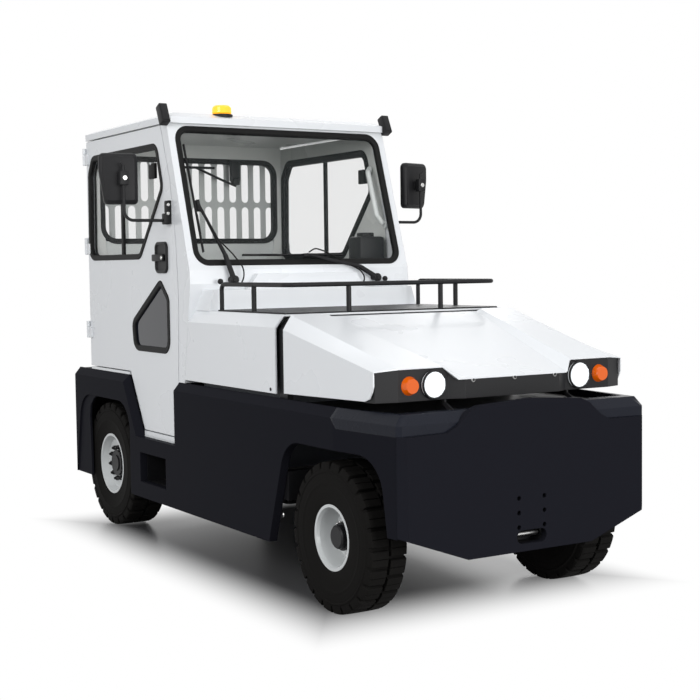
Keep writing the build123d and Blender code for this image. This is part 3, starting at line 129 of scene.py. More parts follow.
def solid(name, color, rough, metal=0.0, coat=0.0, bump=PLAIN_BUMP, edge=0.0, spread=0.04, spec=0.5):
    """A painted, moulded or metal finish, whose roughness spreads a little both ways."""
    mat, shader = new_material(name)
    shader.inputs["Base Color"].default_value = (*color, 1)
    shader.inputs["Specular IOR Level"].default_value = spec
    shader.inputs["Roughness"].default_value = rough
    shader.inputs["Metallic"].default_value = metal
    shader.inputs["Coat Weight"].default_value = coat
    shader.inputs["Coat Roughness"].default_value = 0.08
    noise = add_bump(mat, shader, *bump, edge=edge)
    vary(mat, shader, noise, "Roughness", rough - spread, rough + spread)
    return mat


def glass(name, color, alpha, rough=0.02):
    """Thin clear or tinted pane."""
    mat, shader = new_material(name)
    shader.inputs["Base Color"].default_value = (*color, 1)
    shader.inputs["Roughness"].default_value = rough
    shader.inputs["Alpha"].default_value = alpha
    shader.inputs["Specular IOR Level"].default_value = 0.6
    return mat


def glow(name, color, strength):
    """A lit lens."""
    mat, shader = new_material(name)
    shader.inputs["Base Color"].default_value = (*color, 1)
    shader.inputs["Emission Color"].default_value = (*color, 1)
    shader.inputs["Emission Strength"].default_value = strength
    shader.inputs["Roughness"].default_value = 0.15
    return mat


WHITE_LOOK = dict(
    color=(0.80, 0.82, 0.84), rough=0.30, coat=0.4, bump=(3.0, 0.010, 0.0005), edge=0.003
)
WHITE = solid("white_paint", **WHITE_LOOK)
DARK = solid(
    "dark_paint", (0.0120, 0.0123, 0.0165), 0.40, bump=(420.0, 0.10, 0.0002), edge=0.005, spec=0.006
)
DARK_GLOSS = solid(
    "dark_gloss", (0.012, 0.0135, 0.020), 0.28, coat=0.03, bump=(12.0, 0.03, 0.0004), edge=0.006, spec=0.08
)
BLACK = solid(
    "black_paint", (0.008, 0.008, 0.009), 0.45, bump=(300.0, 0.08, 0.0002), edge=0.002, spec=0.2
)
GREY = solid("grey_paint", (0.76, 0.79, 0.77), 0.5, bump=(200.0, 0.05, 0.0002))
RIM = solid("rim_paint", (0.62, 0.64, 0.64), 0.36, coat=0.3, bump=(160.0, 0.05, 0.0002), edge=0.002)
PLASTIC = solid(
    "black_plastic", (0.009, 0.009, 0.010), 0.48, bump=(500.0, 0.12, 0.0002), edge=0.003, spec=0.22
)
RUBBER = solid("black_rubber", (0.006, 0.006, 0.006), 0.58, spec=0.16, bump=(350.0, 0.12, 0.0002))
TYRE = solid("tyre_rubber", (0.0095, 0.009, 0.0085), 0.72, spec=0.03, bump=(260.0, 0.22, 0.0006))
IRON = solid("axle_iron", (0.012, 0.012, 0.013), 0.6, spec=0.2, bump=(180.0, 0.25, 0.0005))
STEEL = solid("bright_steel", (0.55, 0.55, 0.54), 0.3, metal=1.0, bump=(300.0, 0.05, 0.0002))
SEAT = solid("seat_cover", (0.02, 0.02, 0.022), 0.7, bump=(240.0, 0.25, 0.0005))
BATTERY = solid("battery_paint", (0.06, 0.065, 0.075), 0.5, bump=(120.0, 0.08, 0.0003))
MIRROR = solid("mirror_glass", (0.8, 0.8, 0.8), 0.04, metal=1.0, bump=(2.0, 0.0, 0.0001), spread=0.0)
GLASS = glass("clear_glass", (0.10, 0.12, 0.12), 0.06)
TINT = glass("tinted_glass", (0.004, 0.006, 0.014), 0.93)
LAMP = glow("lamp_lens", (0.75, 0.78, 0.80), 0.5)
AMBER = glow("amber_lens", (0.62, 0.095, 0.001), 0.22)
BEACON = glow("beacon_lens", (1.0, 0.42, 0.02), 0.85)

# Grey for the faces that look into the cab: painted shade inside the cab
CAB_SHADE_GREY = (0.70, 0.72, 0.69)
CAB_SHADE_TURN = 0.6  # least share of a face's normal that points into the cab
CAB_SHADE_HALF = 0.590  # metres from the middle, inside the doors' outer faces


def painted_cab_shade(name, axis, sign):
    """White paint whose faces that look into the cab along an axis turn grey, a painted shade of the cab's
    inside.
    """
    mat = solid(name, **WHITE_LOOK)
    tree = mat.node_tree
    coords = tree.nodes.new("ShaderNodeTexCoord")
    normal = tree.nodes.new("ShaderNodeSeparateXYZ")
    spot = tree.nodes.new("ShaderNodeSeparateXYZ")
    paint = tree.nodes.new("ShaderNodeMix")
    paint.data_type = "RGBA"
    paint.inputs["A"].default_value = (*WHITE_LOOK["color"], 1)
    paint.inputs["B"].default_value = (*CAB_SHADE_GREY, 1)
    link(mat, coords.outputs["Normal"], normal.inputs["Vector"])
    link(mat, coords.outputs["Object"], spot.inputs["Vector"])
    inward = math_node(tree, "MULTIPLY", normal.outputs[axis], sign)
    facing = math_node(tree, "GREATER_THAN", inward, CAB_SHADE_TURN)
    within = math_node(tree, "LESS_THAN", math_node(tree, "ABSOLUTE", spot.outputs["X"]), CAB_SHADE_HALF)
    link(mat, math_node(tree, "MULTIPLY", facing, within), paint.inputs["Factor"])
    link(mat, paint.outputs["Result"], tree.nodes["Principled BSDF"].inputs["Base Color"])
    return mat


SLOT_LOOK = {
    "white_paint": WHITE,
    "dark_paint": DARK,
    "dark_gloss": DARK_GLOSS,
    "black_paint": BLACK,
    "grey_paint": GREY,
    "rim_paint": RIM,
    "battery_paint": BATTERY,
    "black_plastic": PLASTIC,
    "clear_glass": GLASS,
    "lamp_lens": LAMP,
    "amber_lens": AMBER,
    "bright_steel": STEEL,
    "seat_cover": SEAT,
    "axle_iron": IRON,
    "tyre": TYRE,
}
slot_of = {row["node"]: row["material_slot"] for row in frame["record"]["subparts"]}
for node, obj in NODES.items():
    obj.data.materials.clear()
    obj.data.materials.append(SLOT_LOOK[slot_of[node]])
NODES["beacon"].data.materials[0] = BEACON
# Pieces with painted shade inside the cab: node, the axis on which a face looks into the cab, and the way
# it looks
CAB_SHADE_PARTS = (("cab_rear", "Y", -1), ("roof", "Z", -1), ("door_left", "X", -1), ("door_right", "X", 1))
# Each of these pieces gets white paint with painted shade on its faces inside the cab
for node, axis, sign in CAB_SHADE_PARTS:
    NODES[node].data.materials[0] = painted_cab_shade(f"{node}_paint", axis, sign)


# ================= shapes =================
# A part is a list of vertices and a list of faces, in millimetres over the datum.
def make(name, parts, mat, body, smooth=40):
    """One object of several parts, riding on a CAD body; edges past the angle smooth stay sharp."""
    verts, faces = join(parts)
    mesh = bpy.data.meshes.new(name)
    mesh.from_pydata([tuple(v) for v in verts], [], faces)
    work = bmesh.new()
    work.from_mesh(mesh)
    bmesh.ops.recalc_face_normals(work, faces=work.faces)
    work.to_mesh(mesh)
    work.free()
    mesh.transform(Matrix.Scale(MM, 4) @ Matrix.Translation((0, 0, DATUM_Z)))
    obj = bpy.data.objects.new(name, mesh)
    bpy.context.scene.collection.objects.link(obj)
    mesh.materials.append(mat)
    if smooth is not None:
        for poly in mesh.polygons:
            poly.use_smooth = True
        mesh.set_sharp_from_angle(angle=math.radians(smooth))
    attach(obj, body)
    return obj


def join(parts):
    """One list of vertices and faces from several."""
    verts, faces = [], []
    for more_verts, more_faces in parts:
        base = len(verts)
        verts += more_verts
        faces += [tuple(i + base for i in f) for f in more_faces]
    return verts, faces


def moved(part, matrix):
    """A part's vertices put through a matrix."""
    verts, faces = part
    return [matrix @ Vector(v) for v in verts], faces


def skin(rings, sides, closed=False):
    """Faces between equal rings, capped at both ends, or with the last ring joined to the first."""
    faces = []
    for k in range(rings if closed else rings - 1):
        here, there = k * sides, (k + 1) % rings * sides
        for i in range(sides):
            j = (i + 1) % sides
            faces.append((here + i, here + j, there + j, there + i))
    if not closed:
        last = (rings - 1) * sides
        faces += [tuple(range(sides)), tuple(last + i for i in range(sides))]
    return faces


def block(size, centre=(0, 0, 0), cut=0.0):
    """A box with cut edges."""
    work = bmesh.new()
    bmesh.ops.create_cube(work, size=1.0)
    bmesh.ops.scale(work, vec=Vector(size), verts=work.verts)
    if cut:
        bmesh.ops.bevel(work, geom=work.edges[:], offset=cut, segments=2, affect="EDGES", profile=0.6)
    bmesh.ops.translate(work, vec=Vector(centre), verts=work.verts)
    verts = [v.co.copy() for v in work.verts]
    faces = [tuple(v.index for v in f.verts) for f in work.faces]
    work.free()
    return verts, faces


def drum(radius, length, centre=(0, 0, 0), axis="Y", sides=32, cut=0.0, top=None):
    """A closed cylinder along an axis with cut edges, narrowing to a top radius."""
    top = radius if top is None else top
    rings = [
        (-length / 2, radius - cut),
        (-length / 2 + cut, radius),
        (length / 2 - cut, top),
        (length / 2, top - cut),
    ]
    verts = []
    for h, r in rings:
        for i in range(sides):
            a = TAU * i / sides
            p = (r * math.cos(a), r * math.sin(a), h)
            verts.append(Vector({"X": (p[2], p[0], p[1]), "Y": (p[1], p[2], p[0]), "Z": p}[axis]))
    return [v + Vector(centre) for v in verts], skin(len(rings), sides)


def arc_path(points, radii, steps, closed=False):
    """Points along a polyline whose corners are rounded by one radius or by a list of radii."""
    count = len(points)
    path = []
    for i, point in enumerate(points):
        p = Vector(point)
        if not closed and i in (0, count - 1):
            path.append(p)
            continue
        a = (Vector(points[i - 1]) - p).normalized()
        b = (Vector(points[(i + 1) % count]) - p).normalized()
        angle = a.angle(b)
        radius = radii[i] if isinstance(radii, (list, tuple)) else radii
        if radius <= 0 or angle > math.pi - 0.01:
            path.append(p)
            continue
        reach = radius / math.tan(angle / 2)
        start, end = p + a * reach, p + b * reach
        bisector = (a + b).normalized()
        centre = p + bisector * (radius / math.sin(angle / 2))
        u, v = start - centre, end - centre
        sweep = u.angle(v)
        for k in range(steps + 1):
            t = k / steps
            turned = u * math.sin((1 - t) * sweep) + v * math.sin(t * sweep)
            path.append(centre + turned / math.sin(sweep))
    return path


def rounded(outline, radii, steps=8):
    """A flat closed outline with its corners rounded."""
    return arc_path([Vector((u, v, 0)) for u, v in outline], radii, steps, closed=True)


def box_outline(half, low, top):
    """The corners of an upright rectangle."""
    return [(-half, low), (half, low), (half, top), (-half, top)]


def tube(points, radii, radius, sides=10, steps=6):
    """A round bar along a path with rounded corners."""
    path = arc_path(points, radii, steps)
    verts = []
    normal = None
    for i, p in enumerate(path):
        ahead = (path[min(i + 1, len(path) - 1)] - path[max(i - 1, 0)]).normalized()
        if normal is None:
            seed = Vector((0, 0, 1)) if abs(ahead.z) < 0.9 else Vector((1, 0, 0))
            normal = (seed - ahead * seed.dot(ahead)).normalized()
        else:
            normal = (normal - ahead * normal.dot(ahead)).normalized()
        other = ahead.cross(normal)
        for k in range(sides):
            a = TAU * k / sides
            verts.append(p + (normal * math.cos(a) + other * math.sin(a)) * radius)
    return verts, skin(len(path), sides)


def moulding(outline, radii, profile, lift):
    """A closed moulding round an outline. profile holds (outward, up), lift maps (u, v, up) to space."""
    path = rounded(outline, radii)
    count = len(path)
    pairs = zip(path, path[1:] + path[:1])
    area = sum(p.x * q.y - q.x * p.y for p, q in pairs)
    turn = 1 if area > 0 else -1
    verts = []
    for i, p in enumerate(path):
        a = (p - path[i - 1]).normalized()
        b = (path[(i + 1) % count] - p).normalized()
        mid = (a + b).normalized()
        out = Vector((mid.y, -mid.x, 0)) * turn
        grow = 1 / max(0.5, mid.dot(b))
        for o, up in profile:
            q = p + out * (o * grow)
            verts.append(Vector(lift(q.x, q.y, up)))
    return verts, skin(count, len(profile), closed=True)


def sheet_part(outlines, thick, lift):
    """A flat plate with holes. The first outline is its edge; lift maps (u, v, 0 to thick) to space."""
    curve = bpy.data.curves.new("ring", "CURVE")
    curve.dimensions = "2D"
    curve.fill_mode = "BOTH"
    curve.extrude = thick / 2
    for ring in outlines:
        spline = curve.splines.new("POLY")
        spline.points.add(len(ring) - 1)
        for point, p in zip(spline.points, ring):
            point.co = (p[0], p[1], 0, 1)
        spline.use_cyclic_u = True
    holder = bpy.data.objects.new("ring", curve)
    mesh = bpy.data.meshes.new_from_object(holder)
    verts = [Vector(lift(v.co.x, v.co.y, v.co.z + thick / 2)) for v in mesh.vertices]
    faces = [tuple(p.vertices) for p in mesh.polygons]
    bpy.data.objects.remove(holder)
    bpy.data.meshes.remove(mesh)
    return verts, faces


# ================= tyres =================
# Wheel table: end, axle line behind the bumper's face, tyre radius, width, bore
TYRES = (("front", 487.0, 300.0, 172.0, 131.0), ("rear", 2762.0, 326.0, 190.0, 159.0))
AXLES = {end: (at(back), radius - DATUM_Z) for end, back, radius, _, _ in TYRES}
WHEEL_FACE_X = 612.0
TYRE_SEGMENTS = 144
LUG_COUNT = 24
LUG_HALF, LUG_FLARE, LUG_DEPTH = 30.0, 3.0, 22.0  # half width at the top, more at the foot, depth of it
LUG_EDGE = 1.4
SIPE_TOP, SIPE_FOOT = 2.0, 1.4  # half widths of the cut in a lug's top


def on_tyre(hand, end, x, radius, angle):
    """A point x in from the tyre's face, at a radius and an angle round its axle."""
    y, z = AXLES[end]
    return Vector((hand * (WHEEL_FACE_X - x), y + radius * math.cos(angle), z + radius * math.sin(angle)))


def carcass(hand, end, radius, width, bore):
    """The tyre under its lugs, with rings on its sidewalls, turned round the axle."""
    bulge = bore + (radius - bore) * 0.55
    # Half profile from the bore to the tread: in from the face, radius
    half = [
        (18, bore + 0.6),
        (8, bore + 1.2),
        (6, bore + 5),
        (4, bore + 12),
        (1.5, bulge - 24),
        (0.8, radius * 0.70),
        (-0.4, radius * 0.71),
        (-0.4, radius * 0.722),
        (0.4, radius * 0.732),
        (0.2, bulge),
        (0.6, radius * 0.82),
        (1.6, radius * 0.845),
        (-0.6, radius * 0.853),
        (-0.6, radius * 0.868),
        (2.6, radius * 0.876),
        (6.0, radius * 0.905),
        (10.5, radius * 0.928),
        (18.0, radius - 16.5),
    ]
    profile = half + [(width - x, r) for x, r in reversed(half)]
    turns = [TAU * i / TYRE_SEGMENTS for i in range(TYRE_SEGMENTS)]
    verts = [on_tyre(hand, end, x, r, a) for a in turns for x, r in profile]
    return verts, skin(TYRE_SEGMENTS, len(profile), closed=True)


def lug(hand, end, stations, radius, angle):
    """One tread lug with a sipe. stations holds (x, top radius, sipe depth) across the tyre."""
    verts = []
    for x, top, sipe in stations:
        half = [
            (LUG_HALF + LUG_FLARE, min(radius - LUG_DEPTH, top - 5)),
            (LUG_HALF, top - LUG_EDGE),
            (LUG_HALF - LUG_EDGE, top),
            (SIPE_TOP, top),
            (SIPE_FOOT, top - sipe),
        ]
        ring = [(-across, r) for across, r in half] + half[::-1]
        verts += [on_tyre(hand, end, x, r, angle + across / stations[-1][1]) for across, r in ring]
    return verts, skin(len(stations), len(ring))


for end, _, radius, width, bore in TYRES:
    # Stations of a lug from the sidewall to the middle: in from the face, top radius, sipe depth
    stations = [
        (3.6, radius * 0.892, 0.4),
        (4.6, radius - 18, 0.4),
        (6.4, radius - 8, 0.4),
        (9.5, radius - 3.2, 1.0),
        (15.0, radius - 1.2, 5.0),
        (30.0, radius - 0.6, 6.0),
        (width / 2 - 7.2, radius, 6.0),
        (width / 2 - 6.0, radius - 1.2, 5.0),
    ]
    opposite = [(width - x, r, d) for x, r, d in stations]
    for side, hand in HANDS:
        parts = [carcass(hand, end, radius, width, bore)]
        for i in range(LUG_COUNT):
            angle = TAU * i / LUG_COUNT
            parts.append(lug(hand, end, opposite, radius, angle))
            parts.append(lug(hand, end, stations, radius, angle + math.pi / LUG_COUNT))
        tyre = make(f"{end}_tyre_tread_{side}", parts, TYRE, f"{end}_wheel_{side}", 32)
        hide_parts(f"{end}_tyre_{side}")

# ================= windows and seals =================
# Section of a seal: out from the window's edge, up from the face
SEAL = [(-15, -18), (-14.5, 0), (-9, 4.5), (-3, 3.2), (3, 5.5), (11, 4.5), (14, 0.5), (14, -2), (0, -18)]
SIDE_X, TINT_X = 609.0, 599.0
SCREEN_FOOT, SCREEN_SLOPE = (1733.0, 1332.0), 0.327
SLOPE_LENGTH = math.hypot(1, SCREEN_SLOPE)


def on_screen(u, v, lift=0.0):
    """A point on the windscreen's outer plane at x u and height v, lifted off it."""
    back = SCREEN_FOOT[0] + SCREEN_SLOPE * (v - SCREEN_FOOT[1])
    return (u, at(back) - lift / SLOPE_LENGTH, v + lift * SCREEN_SLOPE / SLOPE_LENGTH)


def on_side(hand, face=SIDE_X, way=1):
    """Maps back, height and lift off a door's face to space; way is -1 where lift is into the cab."""
    return lambda u, v, lift=0.0: (hand * (face + way * lift), at(u), v)


screen_seal = moulding(box_outline(562, 1364, 2006), 60, SEAL, on_screen)
make("windscreen_seal", [screen_seal], RUBBER, ROOT)

# A door's two windows: corners as (back, height), and the radius of each
UPPER = [(2925, 1932), (2979, 1850), (2990, 1400), (2310, 1400), (2022, 1728), (2085, 1932)]
UPPER_ROUND = [50, 60, 60, 60, 50, 60]
LOWER = [(2068, 1275), (1978, 1190), (1978, 942), (2395, 942), (2412, 1070)]
LOWER_ROUND = [26, 40, 55, 55, 50]
for side, hand in HANDS:
    lift = on_side(hand)
    door = f"door_assembly_{side}"
    seals = [moulding(UPPER, UPPER_ROUND, SEAL, lift), moulding(LOWER, LOWER_ROUND, SEAL, lift)]
    make(f"door_seals_{side}", seals, RUBBER, door)
    tint = sheet_part([rounded(LOWER, LOWER_ROUND)], 3, on_side(hand, TINT_X))
    make(f"lower_tint_{side}", [tint], TINT, door, None)
    # Divider and latch block of the sliding pane
    fittings = [
        block((14, 28, 520), (hand * 604, at(2532), 1664), 3),
        block((16, 74, 76), (hand * 604, at(2142), 1814), 6),
    ]
    make(f"sliding_pane_fittings_{side}", fittings, RUBBER, door)
    bolt = drum(7, 6, (hand * 612, at(2150), 1850), "X", 16, 1.5)
    make(f"sliding_pane_bolt_{side}", [bolt], WHITE, door)

# Back of the cab: the lining under the window, the seals and the slotted guard
WINDOW_LOW, WINDOW_TOP, WINDOW_HALF = 1492.0, 1950.0, 530.0
LINING_LOW, LINING_PLATE_HALF = 1386.0, 526
lining_middle = (0, at(3002), (WINDOW_LOW + LINING_LOW) / 2)
lining = block((2 * LINING_PLATE_HALF, 8, WINDOW_LOW - LINING_LOW), lining_middle, 1)
make("rear_lining", [lining], GREY, ROOT)
# Seals table: name, plane behind the bumper's face, way off it, share of the section's height
for name, back, way, height in (("rear_seal_inner", 2992, -1, 1.0), ("rear_seal_outer", 3021, 1, 0.3)):
    outline = box_outline(WINDOW_HALF + 2, WINDOW_LOW, WINDOW_TOP - 6)
    profile = [(o, up * height) for o, up in SEAL]
    seal = moulding(outline, 78, profile, lambda u, v, w: (u, at(back) + way * w, v))
    make(name, [seal], RUBBER, ROOT)

COLUMNS, COLUMN_PITCH, SLOT_HALF, SLOT_HEIGHT = 14, 78.0, 22.0, 223.0
ROWS = (1825.0, 1577.0)
GUARD_HALF, GUARD_LOW, GUARD_TOP, GUARD_BACK = 565, 1440, 1985, 3022.5
rings = [rounded(box_outline(GUARD_HALF, GUARD_LOW, GUARD_TOP), 60)]
for column in range(COLUMNS):
    x = (column - (COLUMNS - 1) / 2) * COLUMN_PITCH
    for z in ROWS:
        reach = SLOT_HEIGHT / 2 - SLOT_HALF
        ring = []
        for end in (1, -1):
            for i in range(13):
                a = math.pi * i / 12 + (0 if end > 0 else math.pi)
                u, v = SLOT_HALF * math.cos(a), SLOT_HALF * math.sin(a)
                ring.append(Vector((x + u, z + end * reach + v, 0)))
        rings.append(ring)
guard_plate = sheet_part(rings, 4, lambda u, v, w: (u, at(GUARD_BACK) + w, v))
guard = make("slotted_guard", [guard_plate], GREY, ROOT, 30)
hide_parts("rear_guard")
bolts = [drum(9, 6, (x, at(3029), z), "Y", 6, 1) for x in (-540, 540) for z in (1470, 1955)]
make("guard_bolts", bolts, STEEL, ROOT)

# Rear wiper: motor, hub, arm and blade
rear_wiper = [
    block((58, 34, 120), (262, at(2972), 1890), 8),
    block((40, 44, 40), (262, at(2968), 1830), 6),
    tube([(262, at(2960), 1805), (180, at(2972), 1838), (20, at(2978), 1905)], 20, 7),
    block((300, 14, 14), (-10, at(2984), 1905), 3),
]
make("rear_wiper", rear_wiper, PLASTIC, ROOT)

# ================= windscreen wipers =================
SCREEN_NORMAL = Vector(on_screen(0, 1400, 1)) - Vector(on_screen(0, 1400, 0))
WIPER_BACK = 1690  # of the pivots, on the cowl
KNEE_SHARE, KNEE_RISE = 0.26, 18  # the arm's bend: share of the way to the holder, and rise over it


def bar(start, end, width_a, width_b, thick, normal=SCREEN_NORMAL):
    """A flat bar between two points, whose width changes from one end to the other."""
    a, b, n = Vector(start), Vector(end), Vector(normal).normalized()
    along = (b - a).normalized()
    across = along.cross(n).normalized()
    verts = []
    for p, w in ((a, width_a), (b, width_b)):
        for i, j in ((-1, -1), (1, -1), (0.7, 1), (-0.7, 1)):
            verts.append(p + across * (i * w / 2) + n * (j * thick / 2))
    return verts, skin(2, 4)


def strip(start, end, lift, width, thick):
    """A bar of one width along the screen, between points given as (x, height)."""
    return bar(on_screen(*start, lift), on_screen(*end, lift), width, width, thick)


def wiper(pivot, holder, top, foot):
    """Pivot, arm, blade and the blade's holder; points are (x, height) on the screen."""
    hub = Vector((pivot[0], at(WIPER_BACK), pivot[1]))
    bend = [p + (h - p) * KNEE_SHARE for p, h in zip(pivot, holder)]
    knee = Vector(on_screen(bend[0], bend[1] + KNEE_RISE, 36))
    tip = Vector(on_screen(*holder, 30))
    grip = Vector(on_screen(*holder, 22))
    parts = [drum(21, 20, hub, "Y", 24, 4), drum(14, 12, hub + Vector((0, -14, 0)), "Y", 6, 2)]
    parts += [bar(hub, knee, 26, 22, 13), bar(knee, tip, 20, 10, 9)]
    parts += [strip(top, foot, 9, 9, 9), strip(top, foot, 3, 5, 6)]
    high, low = Vector((*top, 0)), Vector((*foot, 0))
    for share in (0.25, 0.75):
        parts.append(strip(high.lerp(low, share - 0.09).xy, high.lerp(low, share + 0.09).xy, 15, 8, 5))
    along = (low - high).normalized() * 26
    ends = [(holder[0] + way * along.x, holder[1] + way * along.y) for way in (-1, 1)]
    parts.append(strip(*ends, 20, 20, 16))
    parts.append(bar(grip, tip, 16, 16, 14, (1, 0, 0)))
    return parts


left_wiper = wiper((-398, 1283), (-521, 1627), (-541, 1925), (-527, 1412))
right_wiper = wiper((398, 1283), (25, 1390), (-325, 1397), (230, 1394))
make("windscreen_wipers", left_wiper + right_wiper, PLASTIC, ROOT)
# Washer pipes: bend, points on the screen as (x, height, lift), points off it as (x, back, height)
PIPES = (
    (60, [(-521, 1600, 34), (-455, 1460, 40), (-395, 1395, 40), (-345, 1330, 34)],
     [(-352, 1680, 1285), (-362, 1690, 1268)]),
    (40, [(25, 1400, 34), (60, 1418, 40), (110, 1404, 38), (190, 1366, 34), (300, 1310, 34)],
     [(330, 1686, 1278), (322, 1698, 1262)]),
)
pipes = []
for bend, screen_points, loose_points in PIPES:
    route = [on_screen(*p) for p in screen_points] + [(x, at(back), z) for x, back, z in loose_points]
    pipes.append(tube(route, bend, 3.5, 8, 8))
make("washer_pipes", pipes, RUBBER, ROOT)
jets = []
for x in (-470, 446):
    jets += [drum(13, 14, (x, at(1694), 1276), "Y", 24, 3), drum(8, 10, (x, at(1684), 1276), "Y", 16, 2)]
make("screen_jets", jets, PLASTIC, ROOT)

# ================= mirrors and latches =================
MIRROR_BACK, MIRROR_X, MIRROR_Z, TOE = 2002.0, 839.0, 1763.0, math.radians(14.4)
ARM_BACK, ARM_Z = 1942.0, 1567.0
LATCH_BACK, LATCH_Z = 2040, 1393
# The housing's corners as (outward, up) from its middle, the radius of each, and its half sizes
HOUSING = [(-90, 120), (92, 120), (92, 34), (68, -120), (-90, -120)]
HOUSING_ROUND = [26, 24, 90, 20, 20]
HALF_WIDE, HALF_HIGH = 92, 120
# Rings of the housing from its front face to its back: inset, depth
HOUSING_RINGS = [
    (20, -22), (17, -21), (14, -15), (9, -13), (4, -8), (0, 0), (0, 16), (3, 21), (7, 22), (9, 17)
]


def mirror_axes(hand):
    """A mirror's middle, its way outward and its way back through the housing."""
    origin = Vector((hand * MIRROR_X, at(MIRROR_BACK), MIRROR_Z))
    across = Vector((hand * math.cos(TOE), math.sin(TOE), 0))
    deep = Vector((-hand * math.sin(TOE), math.cos(TOE), 0))
    return origin, across, deep


def housing(hand):
    """The mirror's housing."""
    origin, across, deep = mirror_axes(hand)
    verts = []
    for inset, depth in HOUSING_RINGS:
        corners = [(u * (1 - inset / HALF_WIDE), v * (1 - inset / HALF_HIGH)) for u, v in HOUSING]
        ring = rounded(corners, [max(6, r - inset * 0.6) for r in HOUSING_ROUND], 5)
        verts += [origin + across * p.x + Vector((0, 0, p.y)) + deep * depth for p in ring]
    return verts, skin(len(HOUSING_RINGS), len(ring))


def on_latch(hand):
    """Maps back and height from a latch's middle, and lift off the door, to space."""
    return lambda u, v, w: (hand * (SIDE_X + w), at(LATCH_BACK + u), LATCH_Z + v)


for side, hand in HANDS:
    door = f"door_assembly_{side}"
    x, y = hand * MIRROR_X, at(ARM_BACK)
    # Housing, arm, its bent end, clamp, ball joint, bracket and the bracket's two lugs
    parts = [
        housing(hand),
        tube([(hand * 640, y, ARM_Z), (x, y, ARM_Z), (x, y, MIRROR_Z + 60)], 46, 7.5, 14, 10),
        tube([(x, y, MIRROR_Z + 30), (x, y, MIRROR_Z + 56), (x + hand * 14, y, MIRROR_Z + 72)],
             10, 6, 12, 5),
        block((42, 34, 66), (x, y, MIRROR_Z), 5),
        block((34, 30, 46), (x, at(ARM_BACK + 28), MIRROR_Z), 3),
        block((14, 52, 112), (hand * 616, at(1946), 1606), 4),
        block((32, 30, 52), (hand * 632, at(1934), 1574), 5),
        block((22, 24, 54), (hand * 626, at(1932), 1632), 5),
    ]
    mirror = make(f"mirror_{side}", parts, PLASTIC, door)
    origin, across, deep = mirror_axes(hand)
    glass_ring = rounded([(u * 0.86, v * 0.89) for u, v in HOUSING], [18, 16, 70, 14, 14], 5)
    pane = sheet_part(
        [glass_ring], 3, lambda u, v, w: origin + across * u + Vector((0, 0, v)) + deep * (15.5 + w)
    )
    make(f"mirror_glass_{side}", [pane], MIRROR, door, None)
    fixings = [
        drum(11, 5, (x, at(ARM_BACK - 19), MIRROR_Z), "Y", 24, 1.5),
        drum(8, 6, (hand * 626, at(1917), 1641), "Y", 6, 1),
        drum(8, 6, (hand * 628, at(1917), 1600), "Y", 6, 1),
    ]
    make(f"mirror_fixings_{side}", fixings, STEEL, door)
    # Latch: a raised rim round a flat plate, with the paddle and its lock
    plate = box_outline(62, -68, 68)
    rim = [(-8, -1), (-7, 8), (-3, 11), (3, 11), (7, 8), (8, -1)]
    latch = [
        moulding(plate, 24, rim, on_latch(hand)),
        sheet_part([rounded(plate, 24)], 4, on_latch(hand)),
        block((16, 128, 34), (hand * (SIDE_X + 12), at(2062), 1392), 6),
    ]
    make(f"door_latch_{side}", latch, PLASTIC, door)
    lock = drum(9, 6, (hand * (SIDE_X + 21), at(2004), 1392), "X", 20, 1.5)
    make(f"door_lock_{side}", [lock], STEEL, door)
    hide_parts(f"mirror_and_latch_{side}")

# ================= wheel fittings =================
FRONT_STUDS, FRONT_STUD_R = 6, 76
REAR_NUTS, REAR_NUT_R, REAR_NUT_TURN = 10, 85, -28  # the turn in degrees of the first nut
for side, hand in HANDS:
    front, rear = AXLES["front"], AXLES["rear"]
    cap = [drum(56, 10, (hand * 556, *front), "X", 40, 2), drum(47, 26, (hand * 571, *front), "X", 40, 6)]
    make(f"front_hub_cap_{side}", cap, BLACK, f"front_wheel_{side}")
    studs = []
    for i in range(FRONT_STUDS):
        a = TAU * (i + 0.5) / FRONT_STUDS
        y, z = front[0] + FRONT_STUD_R * math.cos(a), front[1] + FRONT_STUD_R * math.sin(a)
        studs.append(drum(11, 16, (hand * 524, y, z), "X", 6, 1.5))
        studs.append(drum(6, 30, (hand * 526, y, z), "X", 12, 1.5))
    make(f"front_wheel_nuts_{side}", studs, STEEL, f"front_wheel_{side}")
    nuts = []
    for i in range(REAR_NUTS):
        a = math.radians(REAR_NUT_TURN + 360 / REAR_NUTS * i)
        y, z = rear[0] - REAR_NUT_R * math.cos(a), rear[1] + REAR_NUT_R * math.sin(a)
        nuts.append(drum(13, 18, (hand * 571, y, z), "X", 6, 2))
        nuts.append(drum(7, 34, (hand * 572, y, z), "X", 12, 2))
    make(f"rear_wheel_nuts_{side}", nuts, BLACK, f"rear_wheel_{side}")

# ================= screws and buffers =================
PANEL_SCREWS = (-193, 6, 207)
screws = [drum(9, 5, (x, at(109), 904), "Y", 20, 1.5) for x in PANEL_SCREWS]
make("lamp_panel_screws", screws, STEEL, HOOD)
sockets = [drum(6, 3, (x, at(106), 904), "Y", 6, 0.5) for x in PANEL_SCREWS]
make("lamp_panel_sockets", sockets, BLACK, HOOD)
BUFFERS = ((-511, 1668), (511, 1668), (42, 1640))
buffers = [drum(14, 16, (x, at(back), 1150), "Z", 24, 3) for x, back in BUFFERS]
make("cover_buffers", buffers, RUBBER, ROOT)
cover_screws = [drum(8, 6, (hand * 609, at(957), 832), "X", 6, 1.5) for _, hand in HANDS]
make("side_cover_screws", cover_screws, BLACK, ROOT)
arch_bolts = [drum(10, 6, (hand * 602, at(880), 314), "X", 6, 1.5) for _, hand in HANDS]
make("arch_bolts", arch_bolts, STEEL, ROOT)

